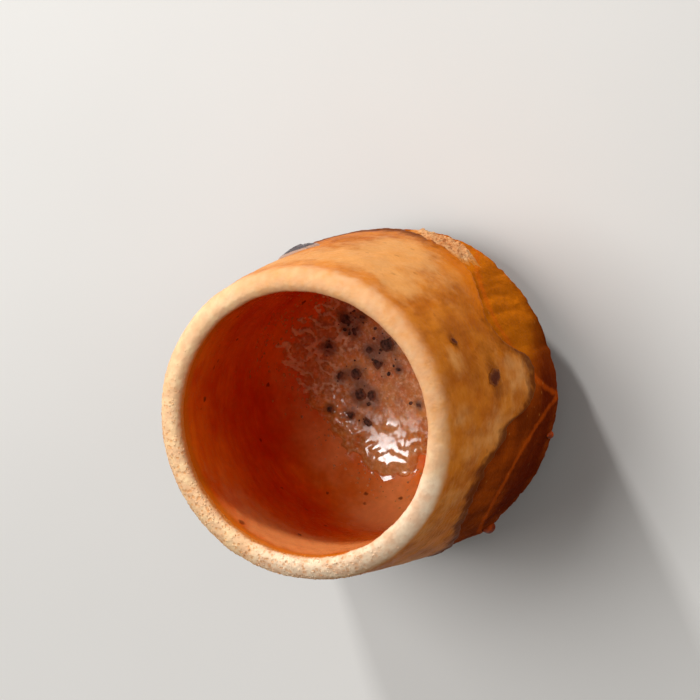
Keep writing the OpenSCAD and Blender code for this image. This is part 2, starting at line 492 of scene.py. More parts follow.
class KilnEffects:
    """Shader groups for the effects that several finishes share, each made once."""

    @staticmethod
    def _new(name: str, inputs: dict[str, Any], output: str) -> tuple[Bench, dict[str, Any], bpy.types.Node]:
        """Starts a group with named inputs and one output.

        Args:
            name: Name of the group.
            inputs: Default values by name. Three numbers make a vector.
            output: Name of the output.

        Returns:
            The bench, the input sockets by name, and the output node.
        """
        tree = bpy.data.node_groups.new(name, "ShaderNodeTree")
        for key, value in inputs.items():
            kind = "NodeSocketVector" if isinstance(value, tuple) else "NodeSocketFloat"
            tree.interface.new_socket(name=key, in_out="INPUT", socket_type=kind).default_value = value
        tree.interface.new_socket(name=output, in_out="OUTPUT", socket_type="NodeSocketFloat")
        bench = Bench(tree)
        source = bench.node("NodeGroupInput")
        return bench, {key: source.outputs[key] for key in inputs}, bench.node("NodeGroupOutput")

    @classmethod
    @cache
    def mottle(cls) -> bpy.types.NodeTree:
        """Returns the group for cloudy variation of a given size, which may be drawn out along an axis."""
        inputs = {"Place": (0.0, 0.0, 0.0), "Squash": (1.0, 1.0, 1.0), "Size": 5.0}
        bench, use, end = cls._new("Mottle", {**inputs, "Detail": 4.0, "Spread": 0.2}, "Value")
        drawn = bench.vector("MULTIPLY", use["Place"], use["Squash"])
        scale = bench.math("DIVIDE", 1.0, use["Size"])
        noise = bench.first("ShaderNodeTexNoise", {"Vector": drawn, "Scale": scale, "Detail": use["Detail"]})
        bench.tree.links.new(bench.step(noise, 0.5, use["Spread"]), end.inputs[0])
        return bench.tree

    @classmethod
    @cache
    def specks(cls) -> bpy.types.NodeTree:
        """Returns the group for scattered specks, bent out of round."""
        inputs = {"Place": (0.0, 0.0, 0.0), "Spacing": 2.0, "Radius": 0.3, "Share": 0.4}
        bench, use, end = cls._new("Specks", inputs, "Mask")
        scale = bench.math("DIVIDE", 1.0, use["Spacing"])
        bent = bench.node("ShaderNodeTexNoise", {"Vector": use["Place"], "Scale": 0.9, "Detail": 2.0})
        nudge = bench.vector("ADD", bent.outputs["Color"], use["Place"])
        cells = bench.node("ShaderNodeTexVoronoi", {"Vector": nudge, "Scale": scale})
        kept = bench.math("LESS_THAN", cells.outputs["Color"], use["Share"])
        core = bench.math("MULTIPLY", use["Radius"], 0.45)
        spot = bench.ramp(cells.outputs["Distance"], core, use["Radius"], 1.0, 0.0)
        bench.tree.links.new(bench.math("MULTIPLY", kept, spot), end.inputs[0])
        return bench.tree

    @classmethod
    @cache
    def ragged(cls) -> bpy.types.NodeTree:
        """Returns the group that frays a soft mask into one with a torn edge."""
        inputs = {"Place": (0.0, 0.0, 0.0), "Mask": 0.0, "Size": 2.0, "Fray": 0.6}
        bench, use, end = cls._new("Ragged", {**inputs, "Softness": 0.2, "Level": 0.5}, "Mask")
        scale = bench.math("DIVIDE", 1.0, use["Size"])
        noise = bench.first("ShaderNodeTexNoise", {"Vector": use["Place"], "Scale": scale, "Detail": 5.0})
        torn = bench.math("MULTIPLY", bench.math("SUBTRACT", noise, 0.5), use["Fray"])
        level = bench.math("ADD", use["Mask"], torn)
        bench.tree.links.new(bench.step(level, use["Level"], use["Softness"]), end.inputs[0])
        return bench.tree


class Brush:
    """Paints one material: keeps its bench, its shader, the place on the piece and the colour so far."""

    def __init__(self, bench: Bench, shader: bpy.types.Node) -> None:
        """Keeps the bench and the shader, and finds the place on the piece in millimetres."""
        self.bench = bench
        self.shader = shader
        self.at = bench.millimetres()
        self.tone: Any = None

    def cloud(
        self,
        size: float,
        spread: float = 0.2,
        squash: tuple[float, float, float] = (1.0, 1.0, 1.0),
        detail: float = 4.0,
    ) -> Socket:
        """Returns cloudy variation.

        Args:
            size: Size of the clouds.
            spread: Half the range of the noise that goes from 0 to 1.
            squash: How much shorter the clouds are along each axis.
            detail: Octaves of finer noise.

        Returns:
            A value from 0 to 1.
        """
        values = {"Place": self.at, "Size": size, "Squash": squash, "Detail": detail, "Spread": spread}
        return self.bench.group(KilnEffects.mottle(), values)

    def torn(self, mask: str, size: float, fray: float, softness: float = 0.2, level: float = 0.5) -> Socket:
        """Returns one of the mesh's own masks with a torn edge.

        Args:
            mask: Name of the soft mask.
            size: Size of the tears.
            fray: How far the edge wanders.
            softness: Half width of the edge.
            level: Mask value at the middle of the edge.

        Returns:
            The torn mask.
        """
        values = {"Mask": self.bench.mask(mask), "Place": self.at, "Size": size, "Fray": fray}
        return self.bench.group(KilnEffects.ragged(), {**values, "Softness": softness, "Level": level})

    def dots(self, spacing: float, radius: float, share: float) -> Socket:
        """Returns a mask of specks.

        Args:
            spacing: Distance between possible specks.
            radius: Radius as a share of the spacing.
            share: Share of the places that have a speck.

        Returns:
            The mask.
        """
        values = {"Place": self.at, "Spacing": spacing, "Radius": radius, "Share": share}
        return self.bench.group(KilnEffects.specks(), values)

    def part(self, mask: Any, share: Any) -> Socket:
        """Returns a mask weakened by a share or by another mask."""
        return self.bench.math("MULTIPLY", mask, share)

    def ground(self, mask: Socket, first: str, second: str) -> None:
        """Starts the colour as a blend of two."""
        self.tone = self.bench.blend(mask, tint(first), tint(second))

    def lay(self, mask: Socket, share: float, colour: Any, mode: str = "MIX") -> None:
        """Lays a colour over the colour so far.

        Args:
            mask: Where it goes.
            share: How strong it is there.
            colour: A colour code, or a colour that varies.
            mode: How the two colours blend.
        """
        over = tint(colour) if isinstance(colour, str) else colour
        self.tone = self.bench.blend(self.part(mask, share), self.tone, over, mode)

    def between(self, value: Socket, low: float, high: float) -> Socket:
        """Returns a roughness that goes from one level to another."""
        return self.bench.ramp(value, 0.0, 1.0, low, high)

    def link(self, value: Socket, key: str) -> None:
        """Links a value to one of the shader's sockets."""
        self.bench.tree.links.new(value, self.shader.inputs[key])

    def end(self, roughness: Socket, height: Socket, depth: float, strength: float) -> None:
        """Links the colour, the roughness and fine relief to the shader.

        Args:
            roughness: The roughness.
            height: The relief, from 0 to 1.
            depth: Depth of the relief in millimetres.
            strength: Strength of the relief.
        """
        values = {"Height": height, "Distance": depth * MM, "Strength": strength}
        self.link(self.tone, "Base Color")
        self.link(roughness, "Roughness")
        self.link(self.bench.first("ShaderNodeBump", values), "Normal")


@dataclass(frozen=True)
class Finish:
    """A fired surface. Each finish paints its own colours, gloss and fine relief."""

    name: str
    specular: float = 0.3
    coat: float = 0.0
    coat_ior: float = 1.5
    coat_roughness: float = 0.1

    @cache
    def material(self) -> bpy.types.Material:
        """Returns the material, made once."""
        made = bpy.data.materials.new(self.name)
        made.use_nodes = True
        made.node_tree.nodes.clear()
        bench = Bench(made.node_tree)
        values = {
            "Specular IOR Level": self.specular,
            "Coat Weight": self.coat,
            "Coat Roughness": self.coat_roughness,
            "Coat IOR": self.coat_ior,
        }
        shader = bench.node("ShaderNodeBsdfPrincipled", values)
        bench.node("ShaderNodeOutputMaterial", {"Surface": shader.outputs[0]})
        self.paint(Brush(bench, shader))
        return made

    def paint(self, brush: Brush) -> None:
        """Paints the finish."""
        raise NotImplementedError


@dataclass(frozen=True)
class HoneyGlaze(Finish):
    """The outer coat: honey and amber clouds, pale runs, a cream lip whitened on one side by painted light,
    and a burnt lower edge.
    """

    honey: str = "D07412"
    amber: str = "B85C08"
    straw: str = "E8AE6C"
    burnt: str = "8E3E02"
    blush: str = "DA8838"
    pink: str = "E2AC84"
    cream: str = "F4D2A4"
    lip_light_white: str = "FAE2C4"
    gold: str = "D68024"
    fleck: str = "7A3A0C"
    rind: str = "551E06"
    rust: str = "C4660C"
    run_down: tuple[float, float, float] = (1.0, 1.0, 0.5)

    def paint(self, brush: Brush) -> None:
        """Paints the coat's clouds, patches, lip and edge, and the painted light on the lip."""
        bench = brush.bench
        drawn = brush.cloud(2.6, 0.2, self.run_down)
        fine = brush.cloud(0.8, 0.3)
        cream, coarse = bench.mask("cream"), bench.mask("coarse")
        brush.ground(brush.cloud(8.0), self.honey, self.amber)
        brush.lay(brush.cloud(5.0, 0.16, self.run_down), 0.3, self.burnt)
        brush.lay(brush.cloud(4.2, 0.11, self.run_down), 0.4, self.gold)
        brush.lay(bench.math("POWER", brush.cloud(3.0, 0.12, self.run_down), 2.0), 0.5, self.burnt)
        brush.lay(brush.torn("deep", 3.0, 0.9, 0.45), 0.55, self.burnt)
        brush.lay(brush.torn("pale", 2.4, 1.1, 0.45), 0.65, self.straw)
        brush.lay(drawn, 0.16, self.gold)
        brush.lay(brush.dots(1.9, 0.3, 0.22), 0.3, self.fleck)
        brush.lay(brush.torn("cream", 2.6, 0.5, 0.5, 0.3), 0.75, self.blush)
        brush.lay(brush.torn("cream", 1.6, 0.45, 0.42, 0.66), 0.95, self.cream)
        # painted light: near-white glare laid on the lip's lit side
        brush.lay(brush.torn("painted_lip_light", 1.8, 0.5, 0.4), 0.75, self.lip_light_white)
        brush.lay(brush.part(brush.cloud(2.0, 0.12), cream), 0.5, self.pink)
        brush.lay(drawn, 0.12, self.blush)
        # gold specks on the sandy lip: sand grains, partly painted glints
        brush.lay(brush.part(brush.dots(0.7, 0.6, 0.5), coarse), 0.45, self.gold)
        brush.lay(brush.torn("brim", 1.2, 0.7, 0.4), 0.85, self.gold)
        brush.lay(fine, 0.08, self.fleck, "MULTIPLY")
        brush.lay(brush.torn("fade", 2.0, 0.8, 0.45), 0.85, self.rust)
        brush.lay(brush.torn("edge", 1.6, 0.9, 0.42), 0.85, self.rind)
        brush.lay(brush.torn("stain", 0.7, 0.7, 0.4), 0.7, self.fleck)
        rough = bench.ramp(bench.math("ADD", fine, coarse), 0.0, 2.0, 0.3, 0.5)
        skin = brush.cloud(0.6, 0.4, detail=3.0)
        pits = brush.part(brush.dots(0.7, 0.5, 0.5), bench.math("ADD", coarse, 0.2))
        brush.end(rough, bench.math("SUBTRACT", skin, pits), 0.08, 0.6)


@dataclass(frozen=True)
class LinerGlaze(Finish):
    """The liner: glossy orange-red with maroon clouds, pinholes, an ochre rim, and painted light on its lit
    sides.
    """

    orange: str = "EE7812"
    maroon: str = "D44400"
    umber: str = "CC6C10"
    painted_lit_band: str = "E89454"
    pin: str = "300A03"
    thrown: tuple[float, float, float] = (1.0, 1.0, 4.0)

    def paint(self, brush: Brush) -> None:
        """Paints the liner's clouds, throwing rings, pinholes and rim, and the painted light and painted
        bounce light on its sides.
        """
        fine = brush.cloud(1.0, 0.3)
        brush.ground(brush.cloud(11.0), self.orange, self.maroon)
        brush.lay(brush.cloud(6.0, 0.2, self.thrown), 0.4, self.maroon)
        # painted bounce light: brighter umber where light reflected off the ash pool falls
        brush.lay(brush.torn("painted_bounce_light", 4.0, 0.7, 0.4), 0.75, self.umber)
        # painted light: pale salmon tint where the key light falls into the well
        brush.lay(brush.torn("painted_lit_band", 3.0, 0.7, 0.35), 0.9, self.painted_lit_band)
        brush.lay(brush.torn("rim", 2.0, 0.5, 0.4), 0.7, self.umber)
        pins = brush.part(brush.dots(3.1, 0.2, 0.25), 0.7)
        stains = brush.part(brush.dots(6.5, 0.16, 0.2), 0.6)
        brush.lay(brush.bench.math("MAXIMUM", pins, stains), 1.0, self.pin)
        brush.lay(fine, 0.15, self.pin, "MULTIPLY")
        brush.end(brush.between(fine, 0.18, 0.3), brush.cloud(1.6, 0.4, detail=3.0), 0.05, 0.35)


@dataclass(frozen=True)
class AshGlass(Finish):
    """Melted ash: rose-brown glass with frosty flecks, lacy where it is thin and smoky near the iron."""

    rose: str = "DC9640"
    grey: str = "B06A28"
    frost: str = "E8BC82"
    lace: str = "FAE4B8"
    thin: str = "D46E12"
    smoke: str = "6A4630"

    def paint(self, brush: Brush) -> None:
        """Paints the glass's clouds, frost, soot, thin places, lace and smoke, its wet gloss, and a painted
        glare where it is wet.
        """
        bench = brush.bench
        gloss_and_glare = bench.mask("gloss_and_glare")
        fine = brush.cloud(0.8, 0.25)
        brush.ground(brush.cloud(5.0, 0.22), self.rose, self.grey)
        brush.lay(brush.cloud(1.8, 0.12), 0.42, self.thin)
        # painted glare: pale frost colour laid where the melt is glossy
        brush.lay(gloss_and_glare, 0.42, self.frost)
        brush.lay(brush.dots(0.6, 0.5, 0.5), 0.3, self.frost)
        brush.lay(brush.dots(0.9, 0.45, 0.3), 0.35, self.smoke)
        brush.lay(brush.torn("thin", 1.2, 0.9, 0.3), 0.8, self.thin)
        brush.lay(brush.torn("lace", 0.7, 2.4, 0.5, 0.4), 0.62, self.lace)
        brush.lay(brush.torn("smoke", 1.4, 0.9, 0.45), 0.75, self.smoke)
        brush.lay(fine, 0.3, self.smoke, "MULTIPLY")
        brush.link(gloss_and_glare, "Coat Weight")
        rough = bench.math("SUBTRACT", brush.between(fine, 0.4, 0.55), brush.part(gloss_and_glare, 0.36))
        calm = bench.math("SUBTRACT", 1.0, brush.part(gloss_and_glare, 0.7))
        brush.end(rough, brush.part(brush.cloud(0.9, 0.4, detail=3.0), calm), 0.05, 0.3)


@dataclass(frozen=True)
class IronBleed(Finish):
    """Iron that boiled up through the glaze: near black with grey bloom, brown where the coat covers it."""

    black: str = "33241E"
    bloom: str = "6A4C3E"
    haze: str = "7A4E34"
    brown: str = "582208"
    rust: str = "8E4A14"

    def paint(self, brush: Brush) -> None:
        """Paints the bloom, the hazy rim and the warmer spots on the coat."""
        bench = brush.bench
        bloom = brush.cloud(0.7)
        rim = brush.part(brush.torn("spot_rim", 0.5, 0.6, 0.3, 0.55), 0.85)
        brush.ground(bloom, self.black, self.bloom)
        brush.lay(rim, 1.0, self.haze)
        brush.lay(bench.mask("spot_warmth"), 0.95, bench.blend(rim, tint(self.brown), tint(self.rust)))
        brush.end(brush.between(bloom, 0.25, 0.5), brush.cloud(0.4, 0.4), 0.06, 0.7)


@dataclass(frozen=True)
class AshCrustFinish(Finish):
    """Half-melted ash: matt, pale pink and gritty, with rust showing through."""

    pale: str = "E2B27E"
    pink: str = "D49058"
    rust: str = "C07038"
    honey: str = "CC7A28"

    def paint(self, brush: Brush) -> None:
        """Paints the grains, the rust and the honey-coloured brim."""
        fine = brush.cloud(0.5)
        brush.ground(brush.cloud(2.6), self.pale, self.pink)
        brush.lay(brush.dots(0.9, 0.45, 0.4), 0.7, self.rust)
        brush.lay(fine, 0.3, self.rust, "MULTIPLY")
        brush.lay(brush.torn("brim", 1.6, 1.0, 0.4, 0.6), 0.85, self.honey)
        brush.end(brush.between(fine, 0.6, 0.9), brush.cloud(0.45, 0.4), 0.2, 0.9)


@dataclass(frozen=True)
class BareClay(Finish):
    """Bare fired clay: rust on the front panel, darker brown below, and a painted orange highlight along cut
    edges.
    """

    brown: str = "9C4206"
    rust: str = "D0700C"
    dark_clay: str = "541404"
    edge_highlight: str = "D0560C"
    grog: str = "B87236"
    dragged: tuple[float, float, float] = (1.0, 1.0, 0.12)

    def paint(self, brush: Brush) -> None:
        """Paints the clay's flashing, drag lines, painted highlights along edges, and grog."""
        drag = brush.cloud(2.6, 0.2, self.dragged)
        fine = brush.cloud(0.6, 0.25)
        brush.ground(brush.part(brush.cloud(8.0), 0.6), self.brown, self.dark_clay)
        brush.lay(brush.torn("rust", 4.0, 0.6, 0.35, 0.4), 0.9, self.rust)
        brush.lay(drag, 0.4, self.dark_clay, "MULTIPLY")
        # darker clay low on the wall and underneath
        brush.lay(brush.torn("dark_clay", 4.0, 0.6, 0.35), 0.85, self.dark_clay)
        # painted highlight: orange along the cut edges
        brush.lay(brush.torn("arris_highlight", 1.8, 1.1, 0.45, 0.6), 0.4, self.edge_highlight)
        brush.lay(brush.dots(1.6, 0.22, 0.25), 0.45, self.grog)
        dragged = brush.bench.math("ADD", brush.part(drag, 0.7), fine)
        brush.end(brush.between(fine, 0.5, 0.8), dragged, 0.14, 0.8)


@dataclass(frozen=True)
class BeadGlass(Finish):
    """A drop of glaze that ran thick: clear amber to dark red."""

    amber: str = "A8400A"
    dark: str = "5A1A06"

    def paint(self, brush: Brush) -> None:
        """Paints the drop's clouds."""
        cloud = brush.cloud(1.2, 0.25)
        brush.ground(cloud, self.amber, self.dark)
        brush.end(brush.between(cloud, 0.12, 0.3), cloud, 0.05, 0.5)


@dataclass(frozen=True)
class BlisterGlass(Finish):
    """A glassy blister of ash and charcoal: grey-black with a pale rim."""

    black: str = "30282A"
    grey: str = "685A5C"
    pale: str = "A88470"

    def paint(self, brush: Brush) -> None:
        """Paints the blister's clouds and its pale rim."""
        fine = brush.cloud(0.6, 0.25)
        brush.ground(brush.cloud(2.4), self.black, self.grey)
        brush.lay(brush.torn("brim", 0.9, 0.9, 0.3), 1.0, self.pale)
        brush.end(brush.between(fine, 0.15, 0.45), fine, 0.12, 0.8)


class FinishSet:
    """Every finish on the cup."""

    HONEY = HoneyGlaze("honey_finish", specular=0.008)
    LINER = LinerGlaze("liner_finish", specular=0.02, coat=0.04)
    ASH = AshGlass("ash_finish", specular=0.3, coat_ior=2.1)
    IRON = IronBleed("iron_finish", specular=0.02)
    CRUST = AshCrustFinish("crust_finish", specular=0.01)
    CLAY = BareClay("clay_finish", specular=0.005)
    BEAD = BeadGlass("bead_finish", specular=0.08, coat=0.04)
    BLISTER = BlisterGlass("blister_finish", specular=0.1, coat=0.04)


class NodeKit:
    """Geometry node trees for what repeats on the cup and for what is turned on the wheel, each made once."""

    @staticmethod
    def _new(name: str, inputs: dict[str, Sequence[str]]) -> tuple[Bench, dict[str, Any], bpy.types.Node]:
        """Starts a tree with named inputs, a material input and a mesh output.

        Args:
            name: Name of the tree.
            inputs: Names of the inputs by socket type, after the geometry and the material.

        Returns:
            The bench, the input sockets by name, and the output node.
        """
        tree = bpy.data.node_groups.new(name, "GeometryNodeTree")
        kinds = {"Geometry": ("Geometry",), "Material": ("Material",), **inputs}
        named = [(key, kind) for kind, keys in kinds.items() for key in keys]
        for key, kind in named:
            tree.interface.new_socket(name=key, in_out="INPUT", socket_type=f"NodeSocket{kind}")
        tree.interface.new_socket(name="Geometry", in_out="OUTPUT", socket_type="NodeSocketGeometry")
        bench = Bench(tree)
        source = bench.node("NodeGroupInput")
        return bench, {key: source.outputs[key] for key, _ in named}, bench.node("NodeGroupOutput")

    @staticmethod
    def _end(bench: Bench, mesh: Any, material: Any, end: bpy.types.Node) -> None:
        """Realizes instances, shades the mesh smooth, sets its material and ends the tree."""
        real = bench.first("GeometryNodeRealizeInstances", {0: mesh})
        smooth = bench.first("GeometryNodeSetShadeSmooth", {"Geometry": real})
        dressed = bench.first("GeometryNodeSetMaterial", {"Geometry": smooth, "Material": material})
        bench.tree.links.new(dressed, end.inputs[0])

    @staticmethod
    def _roughen(bench: Bench, mesh: Any, amount: Any, size: float, facing: Any = None) -> Socket:
        """Moves a mesh's points by noise, in all directions or only square to a facing.

        Args:
            bench: The tree's bench.
            mesh: The mesh.
            amount: How far the points move.
            size: Size of the noise in millimetres.
            facing: Direction in which the points stay where they are.

        Returns:
            The uneven mesh.
        """
        noise = bench.node("ShaderNodeTexNoise", {"Scale": 1 / (size * MM), "Detail": 3.0})
        offset = bench.vector("SUBTRACT", noise.outputs["Color"], (0.5, 0.5, 0.5))
        if facing is not None:
            along = bench.vector("SCALE", facing, scale=bench.vector("DOT_PRODUCT", offset, facing))
            offset = bench.vector("SUBTRACT", offset, along)
        offset = bench.vector("SCALE", offset, scale=amount)
        return bench.first("GeometryNodeSetPosition", {"Geometry": mesh, "Offset": offset})

    @staticmethod
    def _set_out(bench: Bench, points: Any, shape: Any, rotation: Any, scale: dict[str, Any]) -> Socket:
        """Sets a shape on each point, turned, and scaled along its own axes."""
        size = bench.first("ShaderNodeCombineXYZ", scale)
        values = {"Points": points, "Instance": shape, "Rotation": rotation, "Scale": size}
        return bench.first("GeometryNodeInstanceOnPoints", values)

    @classmethod
    @cache
    def turned_ring(cls) -> bpy.types.NodeTree:
        """Returns the tree for a foot ring: a tapered section with rounded corners, turned round the axis."""
        sizes = ("Middle Radius", "Rim Width", "Root Width", "Height", "Rounding", "Unevenness")
        bench, use, end = cls._new("Turned Ring", {"Float": sizes})
        circle = {"Resolution": 240, "Radius": use["Middle Radius"]}
        path = bench.first("GeometryNodeCurvePrimitiveCircle", circle)
        sides = {"Bottom Width": use["Rim Width"], "Top Width": use["Root Width"], "Height": use["Height"]}
        sides["Offset"] = 0.0
        section = bench.first("GeometryNodeCurvePrimitiveQuadrilateral", sides, mode="TRAPEZOID")
        corners = {"Curve": section, "Radius": use["Rounding"], "Count": 6}
        rounded = bench.first("GeometryNodeFilletCurve", corners, mode="POLY")
        even = bench.first("GeometryNodeResampleCurve", {"Curve": rounded, "Count": 96})
        ring = bench.first("GeometryNodeCurveToMesh", {"Curve": path, "Profile Curve": even})
        lift = bench.first("ShaderNodeCombineXYZ", {"Z": bench.math("MULTIPLY", use["Height"], 0.5)})
        raised = bench.first("GeometryNodeTransform", {"Geometry": ring, "Translation": lift})
        cls._end(bench, cls._roughen(bench, raised, use["Unevenness"], 1.8), use["Material"], end)
        return bench.tree

    @classmethod
    @cache
    def domes(cls) -> bpy.types.NodeTree:
        """Returns the tree that sets a low dome on each point, of the point's own size and facing."""
        bench, use, end = cls._new("Domes", {"Float": ("Rise", "Unevenness"), "Int": ("Seed",)})
        plain = bench.first("GeometryNodeMeshIcoSphere", {"Radius": 0.5, "Subdivisions": 4})
        spread = bench.vector("MULTIPLY", bench.first("GeometryNodeInputPosition"), (2.0, 2.0, 0.0))
        rim = {"Name": "spot_rim", "Value": bench.vector("DOT_PRODUCT", spread, spread)}
        ball = bench.first("GeometryNodeStoreNamedAttribute", {"Geometry": plain, **rim})
        own = "GeometryNodeInputNamedAttribute"
        size = bench.first(own, {"Name": "spot_size"}, data_type="FLOAT")
        longer = bench.first(own, {"Name": "spot_stretch"}, data_type="FLOAT")
        facing = bench.first(own, {"Name": "spot_facing"}, data_type="FLOAT_VECTOR")
        turned = bench.first("FunctionNodeAlignRotationToVector", {"Vector": facing}, axis="Z")
        limits = {"Min": 0.85, "Max": 1.15, "Seed": use["Seed"]}
        vary = bench.node("FunctionNodeRandomValue", limits, data_type="FLOAT").outputs[1]
        scale = {
            "X": bench.math("MULTIPLY", size, vary),
            "Y": bench.math("MULTIPLY", size, longer),
            "Z": bench.math("MULTIPLY", use["Rise"], 2.0),
        }
        set_out = cls._set_out(bench, use["Geometry"], ball, turned, scale)
        real = bench.first("GeometryNodeRealizeInstances", {0: set_out})
        cls._end(bench, cls._roughen(bench, real, use["Unevenness"], 1.3, facing), use["Material"], end)
        return bench.tree

    @classmethod
    @cache
    def grains(cls) -> bpy.types.NodeTree:
        """Returns the tree that strews small flattened grains over a mesh, thick where its mask is high."""
        sizes = ("Density", "Smallest", "Largest", "Flatness")
        bench, use, end = cls._new("Grains", {"String": ("Mask",), "Float": sizes, "Int": ("Seed",)})
        seed = {"Seed": use["Seed"]}
        mask = bench.first("GeometryNodeInputNamedAttribute", {"Name": use["Mask"]}, data_type="FLOAT")
        ground = {"Mesh": use["Geometry"], "Density": bench.math("MULTIPLY", mask, use["Density"]), **seed}
        strewn = bench.node("GeometryNodeDistributePointsOnFaces", ground, distribute_method="RANDOM")
        ball = bench.first("GeometryNodeMeshUVSphere", {"Segments": 8, "Rings": 5, "Radius": 0.5})
        draw = bench.node("FunctionNodeRandomValue", seed, data_type="FLOAT").outputs[1]
        span = bench.math("SUBTRACT", use["Largest"], use["Smallest"])
        grown = bench.math("MULTIPLY", bench.math("POWER", draw, 2.5), span)
        size = bench.math("ADD", use["Smallest"], grown)
        limits = {"Min": 0.7, "Max": 1.3, **seed, "ID": 7}
        wider = bench.node("FunctionNodeRandomValue", limits, data_type="FLOAT").outputs[1]
        scale = {
            "X": bench.math("MULTIPLY", size, wider),
            "Y": size,
            "Z": bench.math("MULTIPLY", size, use["Flatness"]),
        }
        points, rotation = strewn.outputs["Points"], strewn.outputs["Rotation"]
        cls._end(bench, cls._set_out(bench, points, ball, rotation, scale), use["Material"], end)
        return bench.tree

    @staticmethod
    def grow(
        name: str, carrier: bpy.types.Mesh, tree: bpy.types.NodeTree, values: dict[str, Any]
    ) -> bpy.types.Object:
        """Runs a tree on a mesh and keeps the result as a plain mesh.

        Args:
            name: Name of the new object.
            carrier: Mesh that goes into the tree.
            tree: The tree.
            values: Inputs by name.

        Returns:
            The new object, with no modifier.
        """
        host = link(bpy.data.objects.new(f"{name}_host", carrier))
        modifier = host.modifiers.new("grow", "NODES")
        modifier.node_group = tree
        named = {s.name: s.identifier for s in tree.interface.items_tree if s.in_out == "INPUT"}
        for key, value in values.items():
            modifier[named[key]] = value
        evaluated = host.evaluated_get(bpy.context.evaluated_depsgraph_get())
        mesh = bpy.data.meshes.new_from_object(evaluated)
        mesh.name = name
        bpy.data.objects.remove(host)
        return link(bpy.data.objects.new(name, mesh))


@dataclass(frozen=True)
class Grains:
    """Grains strewn over a mesh where one of its masks is high, with so many to a square millimetre."""

    name: str
    mask: str
    density: float
    smallest: float
    largest: float
    flatness: float
    seed: int


@dataclass
class Piece:
    """A piece of the cup: its mesh, its finish, its slot and the CAD node that it stands for."""

    form: CupForm
    name: ClassVar[str]
    node: ClassVar[str]
    slot: ClassVar[Slot]
    finish: ClassVar[Finish]
    grains: ClassVar[Grains]
    extras: list[bpy.types.Object] = field(default_factory=list)

    def build(self) -> bpy.types.Object:
        """Makes the mesh."""
        raise NotImplementedError

    def strew(self, carrier: bpy.types.Object) -> None:
        """Strews the piece's grains over the object that carries them."""
        values = {
            "Mask": self.grains.mask,
            "Density": self.grains.density / MM**2,
            "Smallest": self.grains.smallest * MM,
            "Largest": self.grains.largest * MM,
            "Flatness": self.grains.flatness,
            "Seed": self.grains.seed,
            "Material": self.finish.material(),
        }
        self.extras.append(NodeKit.grow(self.grains.name, carrier.data, NodeKit.grains(), values))

    def dress(self, obj: bpy.types.Object) -> None:
        """Gives the object the piece's finish."""
        obj.data.materials.clear()
        obj.data.materials.append(self.finish.material())

    def make(self) -> bpy.types.Object:
        """Builds and dresses the piece, seats it on its body and reports it."""
        obj = self.build()
        for part in (obj, *self.extras):
            self.dress(part)
            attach(part, BODY)
        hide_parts(self.node)
        count = sum(len(part.data.polygons) for part in (obj, *self.extras))
        LOG.info("%s: %d faces in %d objects", self.name, count, 1 + len(self.extras))
        return obj


